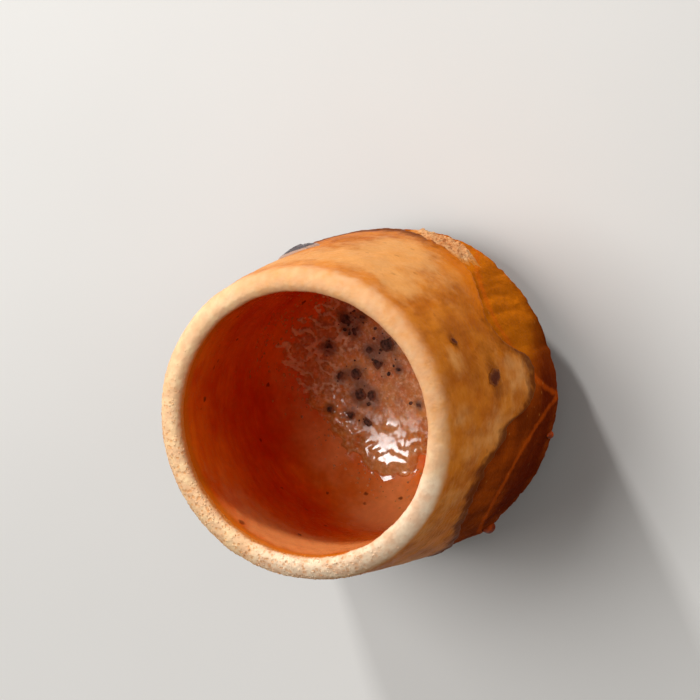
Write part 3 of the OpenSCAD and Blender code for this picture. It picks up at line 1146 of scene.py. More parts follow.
@dataclass
class ClayCup(Piece):
    """The thrown cup, with its knife-cut panels."""

    name = "thrown_clay"
    node = "clay_cup"
    slot = Slot.CLAY
    finish = FinishSet.CLAY
    columns: int = 400
    base_rings: tuple[float, ...] = (4.0, 9.0, 14.0)
    under_rows: int = 8
    corner_bends: tuple[float, ...] = (25.0, 50.0, 75.0)
    wall_rows: int = 130
    crowding: float = 1.15
    lip_bends: tuple[float, ...] = (25.0, 50.0, 75.0, 90.0, 120.0, 150.0, 180.0)
    well_rows: int = 34
    grain: Ripple = Ripple(11, 1.7, 0.05)
    drag: Ripple = Ripple(12, 2.2, 0.05, (1.0, 1.0, 14.0))
    lumps: Ripple = Ripple(13, 11.0, 0.12)
    lump_inset: float = 0.144
    lump_zone: tuple[float, float] = (9.0, 20.0)
    calm_zone: tuple[float, float] = (45.0, 52.0)
    arch_width: float = 0.07
    ridge_width: float = 1.3
    rust: tuple[Patch, ...] = (
        Patch(24, 38, 22, 14), Patch(50, 38, 22, 12), Patch(4, 34, 9, 8, 0.9),
        Patch(150, 34, 22, 10, 0.9), Patch(95, 42, 18, 8, 0.7), Patch(-110, 36, 20, 8, 0.8),
    )
    # darker patches of clay low on the wall
    dark_clay: tuple[Patch, ...] = (
        Patch(-52, 42, 30, 10, 0.9), Patch(-15, 46, 14, 6, 0.7), Patch(115, 48, 40, 6, 0.8),
        Patch(-150, 47, 40, 7, 0.8),
    )

    def build(self) -> bpy.types.Object:
        """Makes the clay as one closed shell from under the base, up the wall and down into the well."""
        form = self.form
        turn = np.linspace(0.0, 360.0, self.columns, endpoint=False)
        rows: list[tuple[Any, Any]] = [(r, form.foot_h) for r in (*self.base_rings, form.foot_r)]
        under_r, under_z = form.corner_r - form.corner_bevel, form.corner_h - form.corner_bevel
        for t in np.linspace(0.0, 1.0, self.under_rows)[1:]:
            r = form.foot_r + (under_r - form.foot_r) * t
            rows.append((r, form.foot_h + (under_z - form.foot_h) * t))
        first = len(rows) - 1
        corner = form.outer_r(turn, form.corner_h)
        for bend in np.radians(self.corner_bends):
            z = under_z + form.corner_bevel * (1 - math.cos(bend))
            rows.append((under_r + (corner - under_r) * math.sin(bend), z))
        shares = np.linspace(0.0, 1.0, self.wall_rows) ** self.crowding
        for z in form.corner_h + (form.shoulder_z - form.corner_h) * shares:
            rows.append((form.outer_r(turn, z), z))
        wall = slice(first, len(rows))
        rows += [form.lip(bend) for bend in self.lip_bends]
        top = form.wall_along + form.lip_in_z - form.well_mid_z
        rows += [form.well(along, 0.0) for along in np.linspace(top - 1.0, 2.0, self.well_rows)]
        points = np.stack([place(turn, r, z) for r, z in rows])
        points[wall] = self.roughened(points[wall], turn)
        return shell(self.name, form.settle(points), Ring.POLES, self.masks(turn, points[..., 2]))

    def roughened(self, wall: Array, turn: Array) -> Array:
        """Gives the wall the grain of the clay, drag lines of the knife and a lumpy corner.

        Args:
            wall: Rows of points, from the corner up.
            turn: Direction of each column.

        Returns:
            The roughened rows.
        """
        z = wall[..., 2]
        cut = ease(self.form.cut_share(turn, z), -0.05, 0.1)
        lumps = (self.lumps.at(wall) - self.lump_inset) * (1 - ease(z, *self.lump_zone))
        push = (self.grain.at(wall) + self.drag.at(wall) * cut + lumps) * (1 - ease(z, *self.calm_zone))
        return wall + push[..., None] * place(turn, 1.0, 0.0)

    def masks(self, turn: Array, z: Array) -> dict[str, Array]:
        """Returns the masks for the painted highlight along cut edges, for rust and for darker clay."""
        form = self.form
        depth = form.cup_height - z
        proud = form.cut_share(turn, z)
        arch = np.exp(-((proud / self.arch_width) ** 2))
        sides = form.panel_count
        ridge = np.abs(gap(turn * sides, form.panel_turn * sides + 180.0)) / sides
        ridge_line = np.exp(-((ridge / self.ridge_width) ** 2)) * ease(proud, -0.02, 0.1)
        under = ease(-z, -form.corner_h, -form.foot_h)
        return {
            # painted highlight where the panels meet the wall and each other
            "arris_highlight": np.clip(arch + 0.8 * ridge_line, 0.0, 1.0),
            "rust": patched(self.rust, turn, depth),
            "dark_clay": np.clip(patched(self.dark_clay, turn, depth) + under, 0.0, 1.0),
        }


@dataclass
class FootRing(Piece):
    """The ring that the cup stands on, turned from a tapered section."""

    name = "turned_foot"
    node = "foot_ring"
    slot = Slot.CLAY
    finish = FinishSet.CLAY
    rim_width: float = 4.8
    root_width: float = 7.2
    rounding: float = 0.7
    unevenness: float = 0.22

    def build(self) -> bpy.types.Object:
        """Turns the ring with geometry nodes, and flattens the rim that it stands on."""
        low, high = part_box(self.node)
        outer = (high.x - low.x) / 2 / MM
        values = {
            "Middle Radius": (outer - self.root_width / 2) * MM,
            "Rim Width": self.rim_width * MM,
            "Root Width": self.root_width * MM,
            "Height": self.form.foot_h * MM,
            "Rounding": self.rounding * MM,
            "Unevenness": self.unevenness * MM,
            "Material": self.finish.material(),
        }
        obj = NodeKit.grow(self.name, bpy.data.meshes.new("empty"), NodeKit.turned_ring(), values)
        mesh = obj.data
        points = np.empty(len(mesh.vertices) * 3)
        mesh.vertices.foreach_get("co", points)
        points = points.reshape(-1, 3)
        points[:, 2] = np.clip(points[:, 2], 0.0, high.z)
        mesh.vertices.foreach_set("co", points.ravel())
        # darker and lighter clay in turn round the foot
        dark_clay = 0.5 + 0.5 * np.sin(np.radians(2 * turn_of(points)))
        mesh.attributes.new("dark_clay", "FLOAT", "POINT").data.foreach_set("value", dark_clay.astype(np.float32))
        mesh.update()
        return obj


@dataclass
class OuterGlaze(Piece):
    """The honey coat over the outside and the lip, with a ragged, rolled lower edge."""

    name = "honey_coat"
    node = "outer_glaze"
    slot = Slot.OUTER_GLAZE
    finish = FinishSet.HONEY
    grains = Grains("lip_grains", "sand", 2.5, 0.18, 0.45, 0.35, 21)
    columns: int = 448
    wall_rows: int = 140
    crowding: float = 1.4
    under_rows: int = 24
    inner_drop: float = 2.7
    roll: float = 0.9
    seat: float = 0.08
    lip_share: float = 0.85
    edge: tuple[tuple[float, float], ...] = (
        (-175, 33), (-157, 25), (-137, 33), (-124, 37), (-110, 33), (-97, 39), (-80, 33), (-66, 23.7),
        (-58, 19.8), (-51, 17.1), (-45, 17.5), (-39, 18.3), (-33.5, 20.9), (-30, 24.6), (-25, 25.3),
        (-23, 30.6), (-21, 35.2), (-16, 36.9), (-11, 38.6), (-7, 38.9), (-4, 37.6), (1.3, 31.6), (8.5, 26.4),
        (14, 27.9), (19.6, 30.4), (25.5, 33), (31, 35.4), (40, 37.5), (46, 38.5), (52, 40), (58, 42),
        (64, 43.5), (72, 44), (80, 42.5), (88, 39), (95, 38), (101, 40), (124, 33), (140, 28), (158, 33),
        (172, 39.5),
    )
    edge_blend: tuple[float, ...] = (-1.6, -0.8, 0.0, 0.8, 1.6)
    edge_r: float = 30.0
    frays: tuple[Ripple, ...] = (Ripple(21, 3.6, 0.3), Ripple(22, 1.3, 0.12))
    waves: Ripple = Ripple(23, 8.0, 0.1)
    peel: Ripple = Ripple(24, 1.1)
    pale: tuple[Patch, ...] = (
        Patch(37, 10, 8, 5), Patch(52, 12, 10, 4, 0.8), Patch(3, 9, 5, 3, 0.7),
        Patch(-9, 31, 9, 8, 0.6), Patch(-25, 21, 7, 6, 0.6), Patch(-17, 6, 5, 4, 0.5),
        Patch(-30, 11, 6, 6, 0.5), Patch(-48, 8, 7, 5, 0.5), Patch(-62, 6, 6, 4, 0.5),
        Patch(-97, 20, 14, 9, 0.9), Patch(-140, 13, 16, 7, 0.8), Patch(175, 24, 12, 10, 0.9),
        Patch(135, 12, 14, 6, 0.8), Patch(85, 12, 18, 8, 0.8), Patch(55, 28, 12, 8, 0.7),
        Patch(44, 23, 18, 9, 0.7), Patch(64, 13, 14, 8, 0.6),
    )
    deep: tuple[Patch, ...] = (
        Patch(21, 24, 12, 5), Patch(12, 14, 9, 5, 0.9), Patch(-5, 13, 7, 4, 0.9),
        Patch(62, 24, 12, 6, 0.9), Patch(-40, 14, 8, 3, 0.6), Patch(-120, 26, 14, 6, 0.9),
        Patch(155, 20, 10, 8, 0.9), Patch(100, 28, 10, 6, 0.8),
    )
    coarse_side: Side = Side(215.0, 35.0, 95.0)
    coarse_zone: tuple[float, float] = (-7.0, -2.0)
    tan_side: Side = Side(35.0, 45.0, 80.0)
    short_side: Side = Side(-25.0, 35.0, 70.0)
    # side of the lip that gets the painted light
    lit_lip_side: Side = Side(-85.0, 30.0, 65.0)
    soft_edge: Patch = Patch(28, 33, 26, 12)

    def edge_z(self, turn: Array) -> Array:
        """Returns the height of the coat's lower edge, with its fine raggedness."""
        marks = np.array(self.edge)
        near = [np.interp(turn + off, *marks.T, period=360.0) for off in self.edge_blend]
        ring = place(turn, self.edge_r, 0.0)
        return self.form.cup_height - np.mean(near, axis=0) + summed(self.frays, ring)

    def build(self) -> bpy.types.Object:
        """Makes the coat as one closed loop of rows: up the wall, over the lip, and back under itself."""
        form = self.form
        turn = np.linspace(-180.0, 180.0, self.columns, endpoint=False)
        low = self.edge_z(turn)
        climb = np.gradient(np.concatenate([low[-1:], low, low[:1]]))[1:-1]
        slope = climb / (form.corner_r * math.radians(360.0 / self.columns))
        rows: list[tuple[Any, ...]] = []
        for share in np.linspace(0.0, 1.0, self.wall_rows) ** self.crowding:
            z = low + (form.shoulder_z - low) * share
            rows.append((form.outer_r(turn, z), z, 1.0, 0.0, self.rolled((z - low) / np.sqrt(1 + slope**2))))
        for bend in (*np.linspace(0, 90, 13)[1:], *np.linspace(90, 180, 9)[1:]):
            out, up = math.cos(math.radians(bend)), math.sin(math.radians(bend))
            rows.append((*form.lip(bend), out, up, form.glaze_t * self.lip_share))
        for drop in np.linspace(0.0, self.inner_drop, 9)[1:]:
            thick = form.glaze_t * (self.lip_share - 0.75 * ease(drop, 0.4, self.inner_drop))
            rows.append((form.lip_in_r, form.lip_in_z - drop, -1.0, 0.0, thick))
        spread = [np.stack([np.broadcast_to(value, turn.shape) for value in column]) for column in zip(*rows)]
        r, z, out, up, t = spread
        t = t * (1 + self.relief(place(turn, r, z), turn))
        upper = place(turn, r + out * t, z + up * t)
        picks = np.linspace(len(rows) - 1, 0, self.under_rows).astype(int)
        under = place(turn, r - out * self.seat, z - up * self.seat)[picks]
        masks = self.masks(turn, r, z, low)
        full = {key: np.concatenate([mask, mask[picks]]) for key, mask in masks.items()}
        full["sand"] = np.concatenate([masks["coarse"], np.zeros_like(masks["coarse"][picks])])
        coat = shell(self.name, form.settle(np.concatenate([upper, under])), Ring.LOOP, full)
        self.strew(coat)
        return coat

    def rolled(self, above: Array) -> Array:
        """Returns the coat's thickness at a distance from its edge: a rounded, slightly thicker rim."""
        share = np.clip(above / self.roll, 0.0, 1.0)
        swell = 1 + 0.3 * np.exp(-(((above - self.roll) / 0.8) ** 2))
        return self.form.glaze_t * np.sqrt(1 - (1 - share) ** 2) * swell

    def relief(self, base: Array, turn: Array) -> Array:
        """Returns the relative change of thickness: soft waves, orange peel, and pits where it is coarse."""
        coarse = self.coarse(turn, base[..., 2])
        return self.waves.at(base) + (0.04 + 0.08 * coarse) * self.peel.at(base) - 0.08 * coarse

    def coarse(self, turn: Array, z: Array) -> Array:
        """Returns where the lip is coarse and sandy."""
        return self.coarse_side.at(turn) * ease(z - self.form.cup_height, *self.coarse_zone)

    def masks(self, turn: Array, r: Array, z: Array, low: Array) -> dict[str, Array]:
        """Returns the masks for the lip, the painted light on the lip, the pale and deep patches, the burnt
        edge and the sandy side.
        """
        depth = self.form.cup_height - z
        inside = r < self.form.lip_mid_r
        short = 1 + self.short_side.at(turn)
        cream = np.where(inside, 1 - 0.4 * ease(depth, 0.8, 4.2), 1 - ease(depth * short, 0.3, 7.5))
        soft = patched([self.soft_edge], turn, self.form.cup_height - low)
        return {
            "cream": cream * (1 - 0.35 * self.tan_side.at(turn)),
            # painted light on the lip's lit side, fading within a few millimetres below the crest
            "painted_lip_light": self.lit_lip_side.at(turn) * (1 - ease(depth, 0.6, 3.0)),
            "brim": np.where(inside, ease(depth, 0.4, 2.4), 0.0),
            "pale": patched(self.pale, turn, depth),
            "deep": patched(self.deep, turn, depth),
            "edge": np.where(inside, 0.0, 1 - ease(z - low, 0.5, 7.0)) * (1 - soft),
            "fade": np.where(inside, 0.0, 1 - ease(z - low, 0.5, 9.0)) * np.minimum(1.3 * soft, 1.0),
            "coarse": self.coarse(turn, z),
            "stain": np.where(inside, 0.0, IronSpots(self.form).stain(turn, depth)),
        }


@dataclass
class InnerGlaze(Piece):
    """The orange-red liner inside the well."""

    name = "red_liner"
    node = "inner_glaze"
    slot = Slot.LINER
    finish = FinishSet.LINER
    columns: int = 320
    rows: int = 120
    back_rows: int = 30
    seat: float = 0.08
    top_gap: float = 1.6
    taper: float = 1.6
    rim_zone: tuple[float, float] = (2.8, 6.5)
    ring_pitch: float = 5.5
    ring_rise: float = 0.015
    waves: Ripple = Ripple(31, 4.0, 0.03)
    # painted light: where the key light falls on the liner, near the lip and low down
    painted_lit_band: tuple[Patch, ...] = (
        Patch(-122, 11, 46, 9), Patch(-110, 39, 22, 9), Patch(145, 45, 46, 7, 0.55),
        Patch(-158, 46, 24, 6, 0.5),
    )
    # painted bounce light low on the liner
    painted_bounce_light: tuple[Patch, ...] = (
        Patch(-160, 44, 30, 5), Patch(-114, 39, 24, 8, 0.9),
    )

    def build(self) -> bpy.types.Object:
        """Makes the liner as a closed shell: up the well from its middle, and back down on the clay."""
        form = self.form
        turn = np.linspace(0.0, 360.0, self.columns, endpoint=False)
        top = form.wall_along + form.clay_top - self.top_gap - form.well_mid_z
        stops = np.linspace(1.0, top, self.rows)
        along = np.repeat(stops[:, None], self.columns, axis=1)
        base = place(turn, *form.well(along, form.liner_t))
        rings = np.sin(2 * math.pi * (stops[:, None] / self.ring_pitch + turn / 360.0))
        steep = ease(stops, form.well_mid_r, form.well_mid_r + form.well_corner_r)[:, None]
        lift = form.liner_t + self.ring_rise * rings * steep + self.waves.at(base)
        lift = lift * (1 - 0.9 * ease(stops, top - self.taper, top))[:, None]
        r, z = form.well(along, lift)
        upper = place(turn, r, z)
        backs = np.repeat(np.linspace(top, 1.0, self.back_rows)[:, None], self.columns, axis=1)
        under = place(turn, *form.well(backs, -self.seat))
        deep = form.cup_height - z
        masks = {
            "rim": 1 - ease(deep, *self.rim_zone),
            "painted_lit_band": patched(self.painted_lit_band, turn, deep),
            "painted_bounce_light": patched(self.painted_bounce_light, turn, deep),
            "near_ash": AshPool(form).near(upper),
        }
        full = {key: np.concatenate([mask, np.zeros_like(backs)]) for key, mask in masks.items()}
        return shell(self.name, form.settle(np.concatenate([upper, under])), Ring.POLES, full)


@dataclass
class AshPool(Piece):
    """Melted ash on the floor of the well, climbing one side, with a torn edge."""

    name = "ash_melt"
    node = "ash_pool"
    slot = Slot.ASH
    finish = FinishSet.ASH
    grains = Grains("ash_drops", "near_ash", 1.3, 0.14, 0.6, 0.3, 5)
    turn: float = 115.0
    shift: float = 4.0
    tear_r: float = 15.0
    drop_scale: float = 17.0
    edge: tuple[tuple[float, float], ...] = (
        (20, 17.6), (52, 20), (80, 16.6), (104, 15.8), (131, 16.5), (150, 19), (162, 20.5), (185, 18.5),
        (230, 16), (300, 16),
    )
    columns: int = 288
    rows: int = 90
    under_rows: int = 14
    seat: float = 0.06
    dish: float = 0.45
    lacy_side: Side = Side(130.0, 17.0, 47.6)
    wet_spot: tuple[float, float] = (-114, 13.8)
    wet_reach: float = 6.0
    tears: Ripple = Ripple(42, 5.0, 0.45)
    frays: Ripple = Ripple(43, 2.2)
    waves: tuple[Ripple, ...] = (Ripple(44, 4.0, 0.05), Ripple(45, 1.2, 0.012))
    strands: tuple[Ripple, ...] = (Ripple(46, 5.0), Ripple(47, 1.6, 0.35))
    fold_waves: Ripple = Ripple(48, 2.4, 0.5)
    folds: tuple[tuple[float, Side, float], ...] = (
        (12.2, Side(200.0, 27.0, 45.0), 0.28),
        (7.0, Side(240.0, 8.4, 14.0), 0.15),
    )
    fold_width: float = 0.8

    @property
    def middle(self) -> Array:
        """Middle of the pool, seen from above."""
        return place(self.turn, self.shift, 0.0)[:2]

    def rim(self, angle: Array) -> Array:
        """Returns the distance of the torn edge from the pool's middle, by angle in radians."""
        wide = np.interp(np.degrees(angle), *np.array(self.edge).T, period=360.0)
        return wide + self.tears.at(circle(angle, self.tear_r))

    def share(self, flat: Array) -> Array:
        """Returns the share of the way from the pool's middle to its edge, seen from above."""
        off = flat[..., :2] - self.middle
        return np.hypot(off[..., 0], off[..., 1]) / self.rim(np.arctan2(off[..., 1], off[..., 0]))

    def near(self, points: Array) -> Array:
        """Returns where drops of ash lie round the pool: most at its edge, fewer further out."""
        out = (self.share(points) - 1) * self.drop_scale
        return ease(out, -3.0, -0.5) * (1 - ease(out, 0.0, 5.0)) * (points[..., 2] < self.form.well_mid_z + 4)

    def lacy(self, flat: Array) -> Array:
        """Returns where the melt has drawn up into strands: on one side, towards the edge."""
        return self.lacy_side.at(turn_of(flat)) * ease(self.share(flat), 0.3, 0.7)

    def lace(self, flat: Array) -> Array:
        """Returns the strands: 1 along the middle of a strand, 0 in the holes between them."""
        return 1 - ease(np.abs(summed(self.strands, flat)), 0.12, 0.75)

    def spot(self, flat: Array, reach: float) -> Array:
        """Returns the closeness to the wettest spot, fading out over a reach."""
        return close_to(flat, *self.wet_spot, reach)

    def folded(self, flat: Array) -> Array:
        """Returns the height of the folds in which the melt has set."""
        r, total = np.hypot(flat[..., 0], flat[..., 1]), 0.0
        for ring, side, rise in self.folds:
            total = total + rise * side.at(turn_of(flat)) * np.exp(-(((r - ring) / self.fold_width) ** 2))
        return total * (1 + self.fold_waves.at(flat)) * (1 - 0.9 * self.spot(flat, 4.5))

    def gloss_and_glare(self, flat: Array) -> Array:
        """Returns where the melt has stayed glossy, along the folds and round one spot, which is also where
        the finish paints a pale glare.
        """
        return np.clip(4 * self.folded(flat) + self.spot(flat, self.wet_reach), 0.0, 1.0)

    def thickness(self, flat: Array) -> Array:
        """Returns the thickness of the ash above the liner, seen from above; below 0 it is sunk in it."""
        form = self.form
        share, r = self.share(flat), np.hypot(flat[..., 0], flat[..., 1])
        calm = 1 - 0.9 * self.spot(flat, 5.5)
        waves = calm * summed(self.waves, flat)
        dish = self.dish * np.clip(r / form.well_mid_r, 0.0, 1.3) ** 2
        melt = (form.ash_t + dish) * (1 - ease(share, 0.8, 1.0)) * (1 + waves)
        melt += 0.16 * ease(share, 0.55, 0.95) * (calm * self.frays.at(flat) - 0.9)
        melt += self.folded(flat)
        strands = self.lacy(flat)
        melt = melt * (1 - 0.45 * strands) + strands * (0.3 * self.lace(flat) - 0.12)
        return np.where(share > 0.995, -self.seat, np.maximum(melt, -self.seat))

    def build(self) -> bpy.types.Object:
        """Makes the pool as a closed shell whose thin, holed edge sinks into the liner."""
        form = self.form
        angle = np.linspace(0.0, 2 * math.pi, self.columns, endpoint=False)
        share = (np.linspace(0.0, 1.0, self.rows + 1)[1:] ** 0.8)[:, None]
        spread = share * self.rim(angle)
        x = self.middle[0] + spread * np.cos(angle)
        y = self.middle[1] + spread * np.sin(angle)
        flat = np.stack([x, y, 0 * x], axis=-1)
        turn = turn_of(flat)
        along = form.well_along(np.minimum(np.hypot(x, y), form.well_r - 0.1))
        depth = self.thickness(flat)
        upper = place(turn, *form.well(along, form.liner_t + depth))
        picks = np.linspace(self.rows - 1, 0, self.under_rows).astype(int)
        under = place(turn[picks], *form.well(along[picks], form.liner_t - 2 * self.seat))
        masks = {
            "thin": 1 - ease(depth, 0.02, 0.3),
            "smoke": IronSpots(form).smoke(flat),
            "lace": self.lacy(flat) * self.lace(flat),
            "gloss_and_glare": self.gloss_and_glare(flat),
        }
        full = {key: np.concatenate([mask, mask[picks]]) for key, mask in masks.items()}
        return shell(self.name, form.settle(np.concatenate([upper, under])), Ring.POLES, full)


@dataclass
class IronSpots(Piece):
    """Iron bleeds on the ash and on the coat: the large ones one by one, the small ones strewn."""

    name = "iron_bleeds"
    node = "iron_spots"
    slot = Slot.IRON
    finish = FinishSet.IRON
    grains = Grains("iron_specks", "smoke", 0.6, 0.2, 0.8, 0.2, 8)
    rise: float = 0.14
    unevenness: float = 1.7
    seed: int = 3
    floor_spots: tuple[tuple[float, float, float], ...] = (
        (80, 8.8, 2.8), (104.5, 9.1, 1.6), (105, 16.5, 2.6), (106, 13.9, 1.8), (105, 6.2, 1.6),
        (94, 15.6, 1.5), (129, 15.7, 2), (139, 8.7, 2.1), (167, 7.5, 2.3), (173, 5.3, 2.3), (187, 10.5, 1.7),
        (148, 11.6, 1.5), (175.5, 13.9, 1.4), (206, 8.6, 1.6), (62, 4, 1.2), (46, 11, 1.4), (310, 5.2, 1.2),
    )
    wall_spots: tuple[tuple[float, float, float, float], ...] = (
        (-7.5, 21, 3, 1.8), (9.5, 11.3, 1.5, 1.5), (213, 15, 1.8, 1),
    )

    def stain(self, turn: Array, depth: Array) -> Array:
        """Returns how brown the coat is round the spots on the wall."""
        stains = [Patch(at, down, 1.6 * size * tall, 0.85 * size) for at, down, size, tall in self.wall_spots]
        return patched(stains, turn, depth)

    def smoke(self, flat: Array) -> Array:
        """Returns how smoky the ash is, by closeness to the large spots, seen from above."""
        total = sum(close_to(flat, turn, r, 0.95 * size) for turn, r, size in self.floor_spots)
        return np.clip(total, 0.0, 1.0)

    def build(self) -> bpy.types.Object:
        """Sets a dome on each place with geometry nodes."""
        form = self.form
        floor, wall = np.array(self.floor_spots).T, np.array(self.wall_spots).T
        along = form.well_along(floor[1])
        ash = AshPool(form).thickness(place(floor[0], floor[1], 0 * floor[1]))
        lift = form.liner_t + np.maximum(ash, 0.05) - 0.04
        low = place(floor[0], *form.well(along, lift))
        high = place(floor[0], *form.well(along, lift + 1.0))
        z = form.cup_height - wall[1]
        side = place(wall[0], form.outer_r(wall[0], z) + form.glaze_t, z)
        mesh = bpy.data.meshes.new("spot_places")
        mesh.from_pydata((form.settle(np.concatenate([low, side])) * MM).tolist(), [], [])
        lean = form.outer_r(wall[0], z - 1.0) - form.outer_r(wall[0], z)
        facing = np.concatenate([high - low, place(wall[0], np.cos(lean), np.sin(lean))])
        sizes = np.concatenate([floor[2], wall[2]]) * MM
        warmth = np.concatenate([0 * floor[2], np.ones_like(z)])
        for key, kind, field_name, mask in (
            ("spot_size", "FLOAT", "value", sizes),
            ("spot_warmth", "FLOAT", "value", warmth),
            ("spot_stretch", "FLOAT", "value", np.concatenate([0 * floor[2] + 1, wall[3]])),
            ("spot_facing", "FLOAT_VECTOR", "vector", facing.ravel()),
        ):
            mesh.attributes.new(key, kind, "POINT").data.foreach_set(field_name, mask.astype(np.float32))
        values = {
            "Rise": self.rise * MM,
            "Unevenness": self.unevenness * MM,
            "Seed": self.seed,
            "Material": self.finish.material(),
        }
        return NodeKit.grow(self.name, mesh, NodeKit.domes(), values)


@dataclass
class WallPatch(Piece):
    """A raised patch on the outside of the wall, with a torn outline."""

    turn: float = 0.0
    depth: float = 0.0
    half_width: float = 5.0
    half_height: float = 5.0
    slant: float = 0.0
    thick: float = 0.7
    seed: int = 1
    columns: int = 200
    rows: int = 60
    seat: float = 0.15
    tear_r: float = 5.0
    under_rows: int = 10

    def lift(self, share: Array, points: Array) -> Array:
        """Returns the height above the wall, by share of the way to the rim."""
        raise NotImplementedError

    def torn_rim(self, angle: Array) -> Array:
        """Returns the share of the patch's size that its rim reaches, by angle in radians."""
        frays = (Ripple(self.seed, 7.0, 0.07), Ripple(self.seed + 1, 2.0, 0.035))
        return 0.9 + summed(frays, circle(angle, self.tear_r))

    def base_lift(self) -> float:
        """Returns the height of what carries the patch above the clay."""
        return 0.0

    def build(self) -> bpy.types.Object:
        """Makes the patch as a closed shell that sinks into the wall at its rim."""
        form = self.form
        angle = np.linspace(0.0, 2 * math.pi, self.columns, endpoint=False)
        share = np.linspace(0.0, 1.0, self.rows + 1)[1:][:, None]
        reach = share * self.torn_rim(angle)
        turn = self.turn + np.degrees(self.half_width * reach * np.cos(angle) / form.corner_r)
        z = form.cup_height - self.depth - self.slant * (turn - self.turn)
        z = np.maximum(z + self.half_height * reach * np.sin(angle), form.corner_h + 0.1)
        wall = form.outer_r(turn, z) + self.base_lift()
        flat = place(turn, wall, z)
        lift = self.lift(share, flat)
        upper = place(turn, wall + lift, z)
        picks = np.linspace(self.rows - 1, 0, self.under_rows).astype(int)
        under = place(turn[picks], wall[picks] - 2 * self.seat, z[picks])
        brim = np.broadcast_to(ease(share, 0.6, 0.9), lift.shape)
        masks = {
            "brim": np.concatenate([brim, brim[picks]]),
            "upper": np.concatenate([1 - 0.8 * brim, np.zeros_like(brim[picks])]),
        }
        return shell(self.name, form.settle(np.concatenate([upper, under])), Ring.POLES, masks)


@dataclass
class AshCrust(WallPatch):
    """Pale half-melted ash on the lower wall, thick with grains."""

    name = "crust_patch"
    node = "ash_crust"
    slot = Slot.CRUST
    finish = FinishSet.CRUST
    grains = Grains("crust_grains", "upper", 4.0, 0.12, 0.5, 0.55, 14)
    lumps: tuple[Ripple, ...] = (Ripple(53, 2.6, 0.3), Ripple(54, 1.1, 0.18))
    turn: float = 48.0
    depth: float = 42.6
    half_width: float = 9.6
    half_height: float = 5.4
    slant: float = 0.16
    ridge_turn: float = 60.0
    thick: float = 0.6
    seed: int = 51

    def build(self) -> bpy.types.Object:
        """Makes the crust and strews its grains."""
        crust = super().build()
        self.strew(crust)
        return crust

    def lift(self, share: Array, points: Array) -> Array:
        """Returns a lumpy layer that thins to a torn rim."""
        ridge = 0.8 + 0.6 * np.exp(-((gap(turn_of(points), self.ridge_turn) / 5.0) ** 2))
        body = self.thick * (1 - ease(share, 0.55, 1.0)) * (ridge + summed(self.lumps, points))
        return body - self.seat * ease(share, 0.8, 1.0)


@dataclass
class AshBlister(WallPatch):
    """A grey-black glassy blister high on the wall."""

    name = "blister_dome"
    node = "ash_blister"
    slot = Slot.BLISTER
    finish = FinishSet.BLISTER
    bubbles: Ripple = Ripple(63, 2.8)
    wrinkles: Ripple = Ripple(64, 1.0, 0.03)
    turn: float = 88.0
    depth: float = 24.0
    half_width: float = 4.6
    half_height: float = 4.8
    thick: float = 1.0
    highest: float = 1.1
    seed: int = 61

    def base_lift(self) -> float:
        """Returns the coat's thickness, because the blister sits on the coat."""
        return self.form.glaze_t

    def lift(self, share: Array, points: Array) -> Array:
        """Returns a low wrinkled dome with smaller bubbles on it."""
        dome = np.clip(1 - share**2, 0.0, 1.0)
        bubbles = np.clip(self.bubbles.at(points), 0.0, 1.6)
        lift = self.thick * dome * (0.85 + 0.1 * bubbles + self.wrinkles.at(points))
        return np.minimum(lift, self.highest) - self.seat * ease(share, 0.85, 1.0)


@dataclass
class GlazeBeads(Piece):
    """Drops of glaze that ran down and froze just above the lower corner."""

    name = "glaze_drops"
    node = "glaze_beads"
    slot = Slot.BEAD
    finish = FinishSet.BEAD
    radius: float = 1.3
    beads: tuple[tuple[float, float], ...] = ((-77.0, 1.0), (-35.0, 0.6))
    tail: float = 1.4
    pinch: float = 0.35
    flatness: float = 0.85
    lift: float = 0.1

    def build(self) -> bpy.types.Object:
        """Makes the drops, each round below and drawn out to a tail above."""
        drops = [self.drop(turn, self.radius * share) for turn, share in self.beads]
        first = drops[0]
        with bpy.context.temp_override(active_object=first, selected_editable_objects=drops):
            bpy.ops.object.join()
        first.name = self.name
        return first

    def drop(self, turn: float, radius: float) -> bpy.types.Object:
        """Makes one drop.

        Args:
            turn: Direction of the drop.
            radius: Radius of its round end.

        Returns:
            The drop, as an object of its own.
        """
        form = self.form
        around = np.linspace(0.0, 2 * math.pi, 48, endpoint=False)
        bend = np.linspace(0.0, math.pi, 34)[1:-1][:, None]
        up = -np.cos(bend)
        stretch = np.where(up > 0, 1 + self.tail * up, 1.0)
        girth = np.sin(bend) * np.where(up > 0, 1 - self.pinch * up, 1.0)
        z = form.corner_h + self.radius + radius * up * stretch
        side = radius * girth * np.cos(around)
        out = radius * girth * np.sin(around) * self.flatness
        wall = form.outer_r(np.full_like(z, turn), z)
        points = place(turn + np.degrees(side / form.corner_r), wall + out + self.lift, z + 0 * side)
        return shell(f"drop_{abs(int(turn))}", form.settle(points), Ring.POLES)


@dataclass(frozen=True)
class Lamp:
    """A square soft lamp: its direction from the cup, its distance and side in metres, its power in watts."""

    name: str
    heading: tuple[float, float, float]
    away: float
    size: float
    power: float
    shine: bool = True


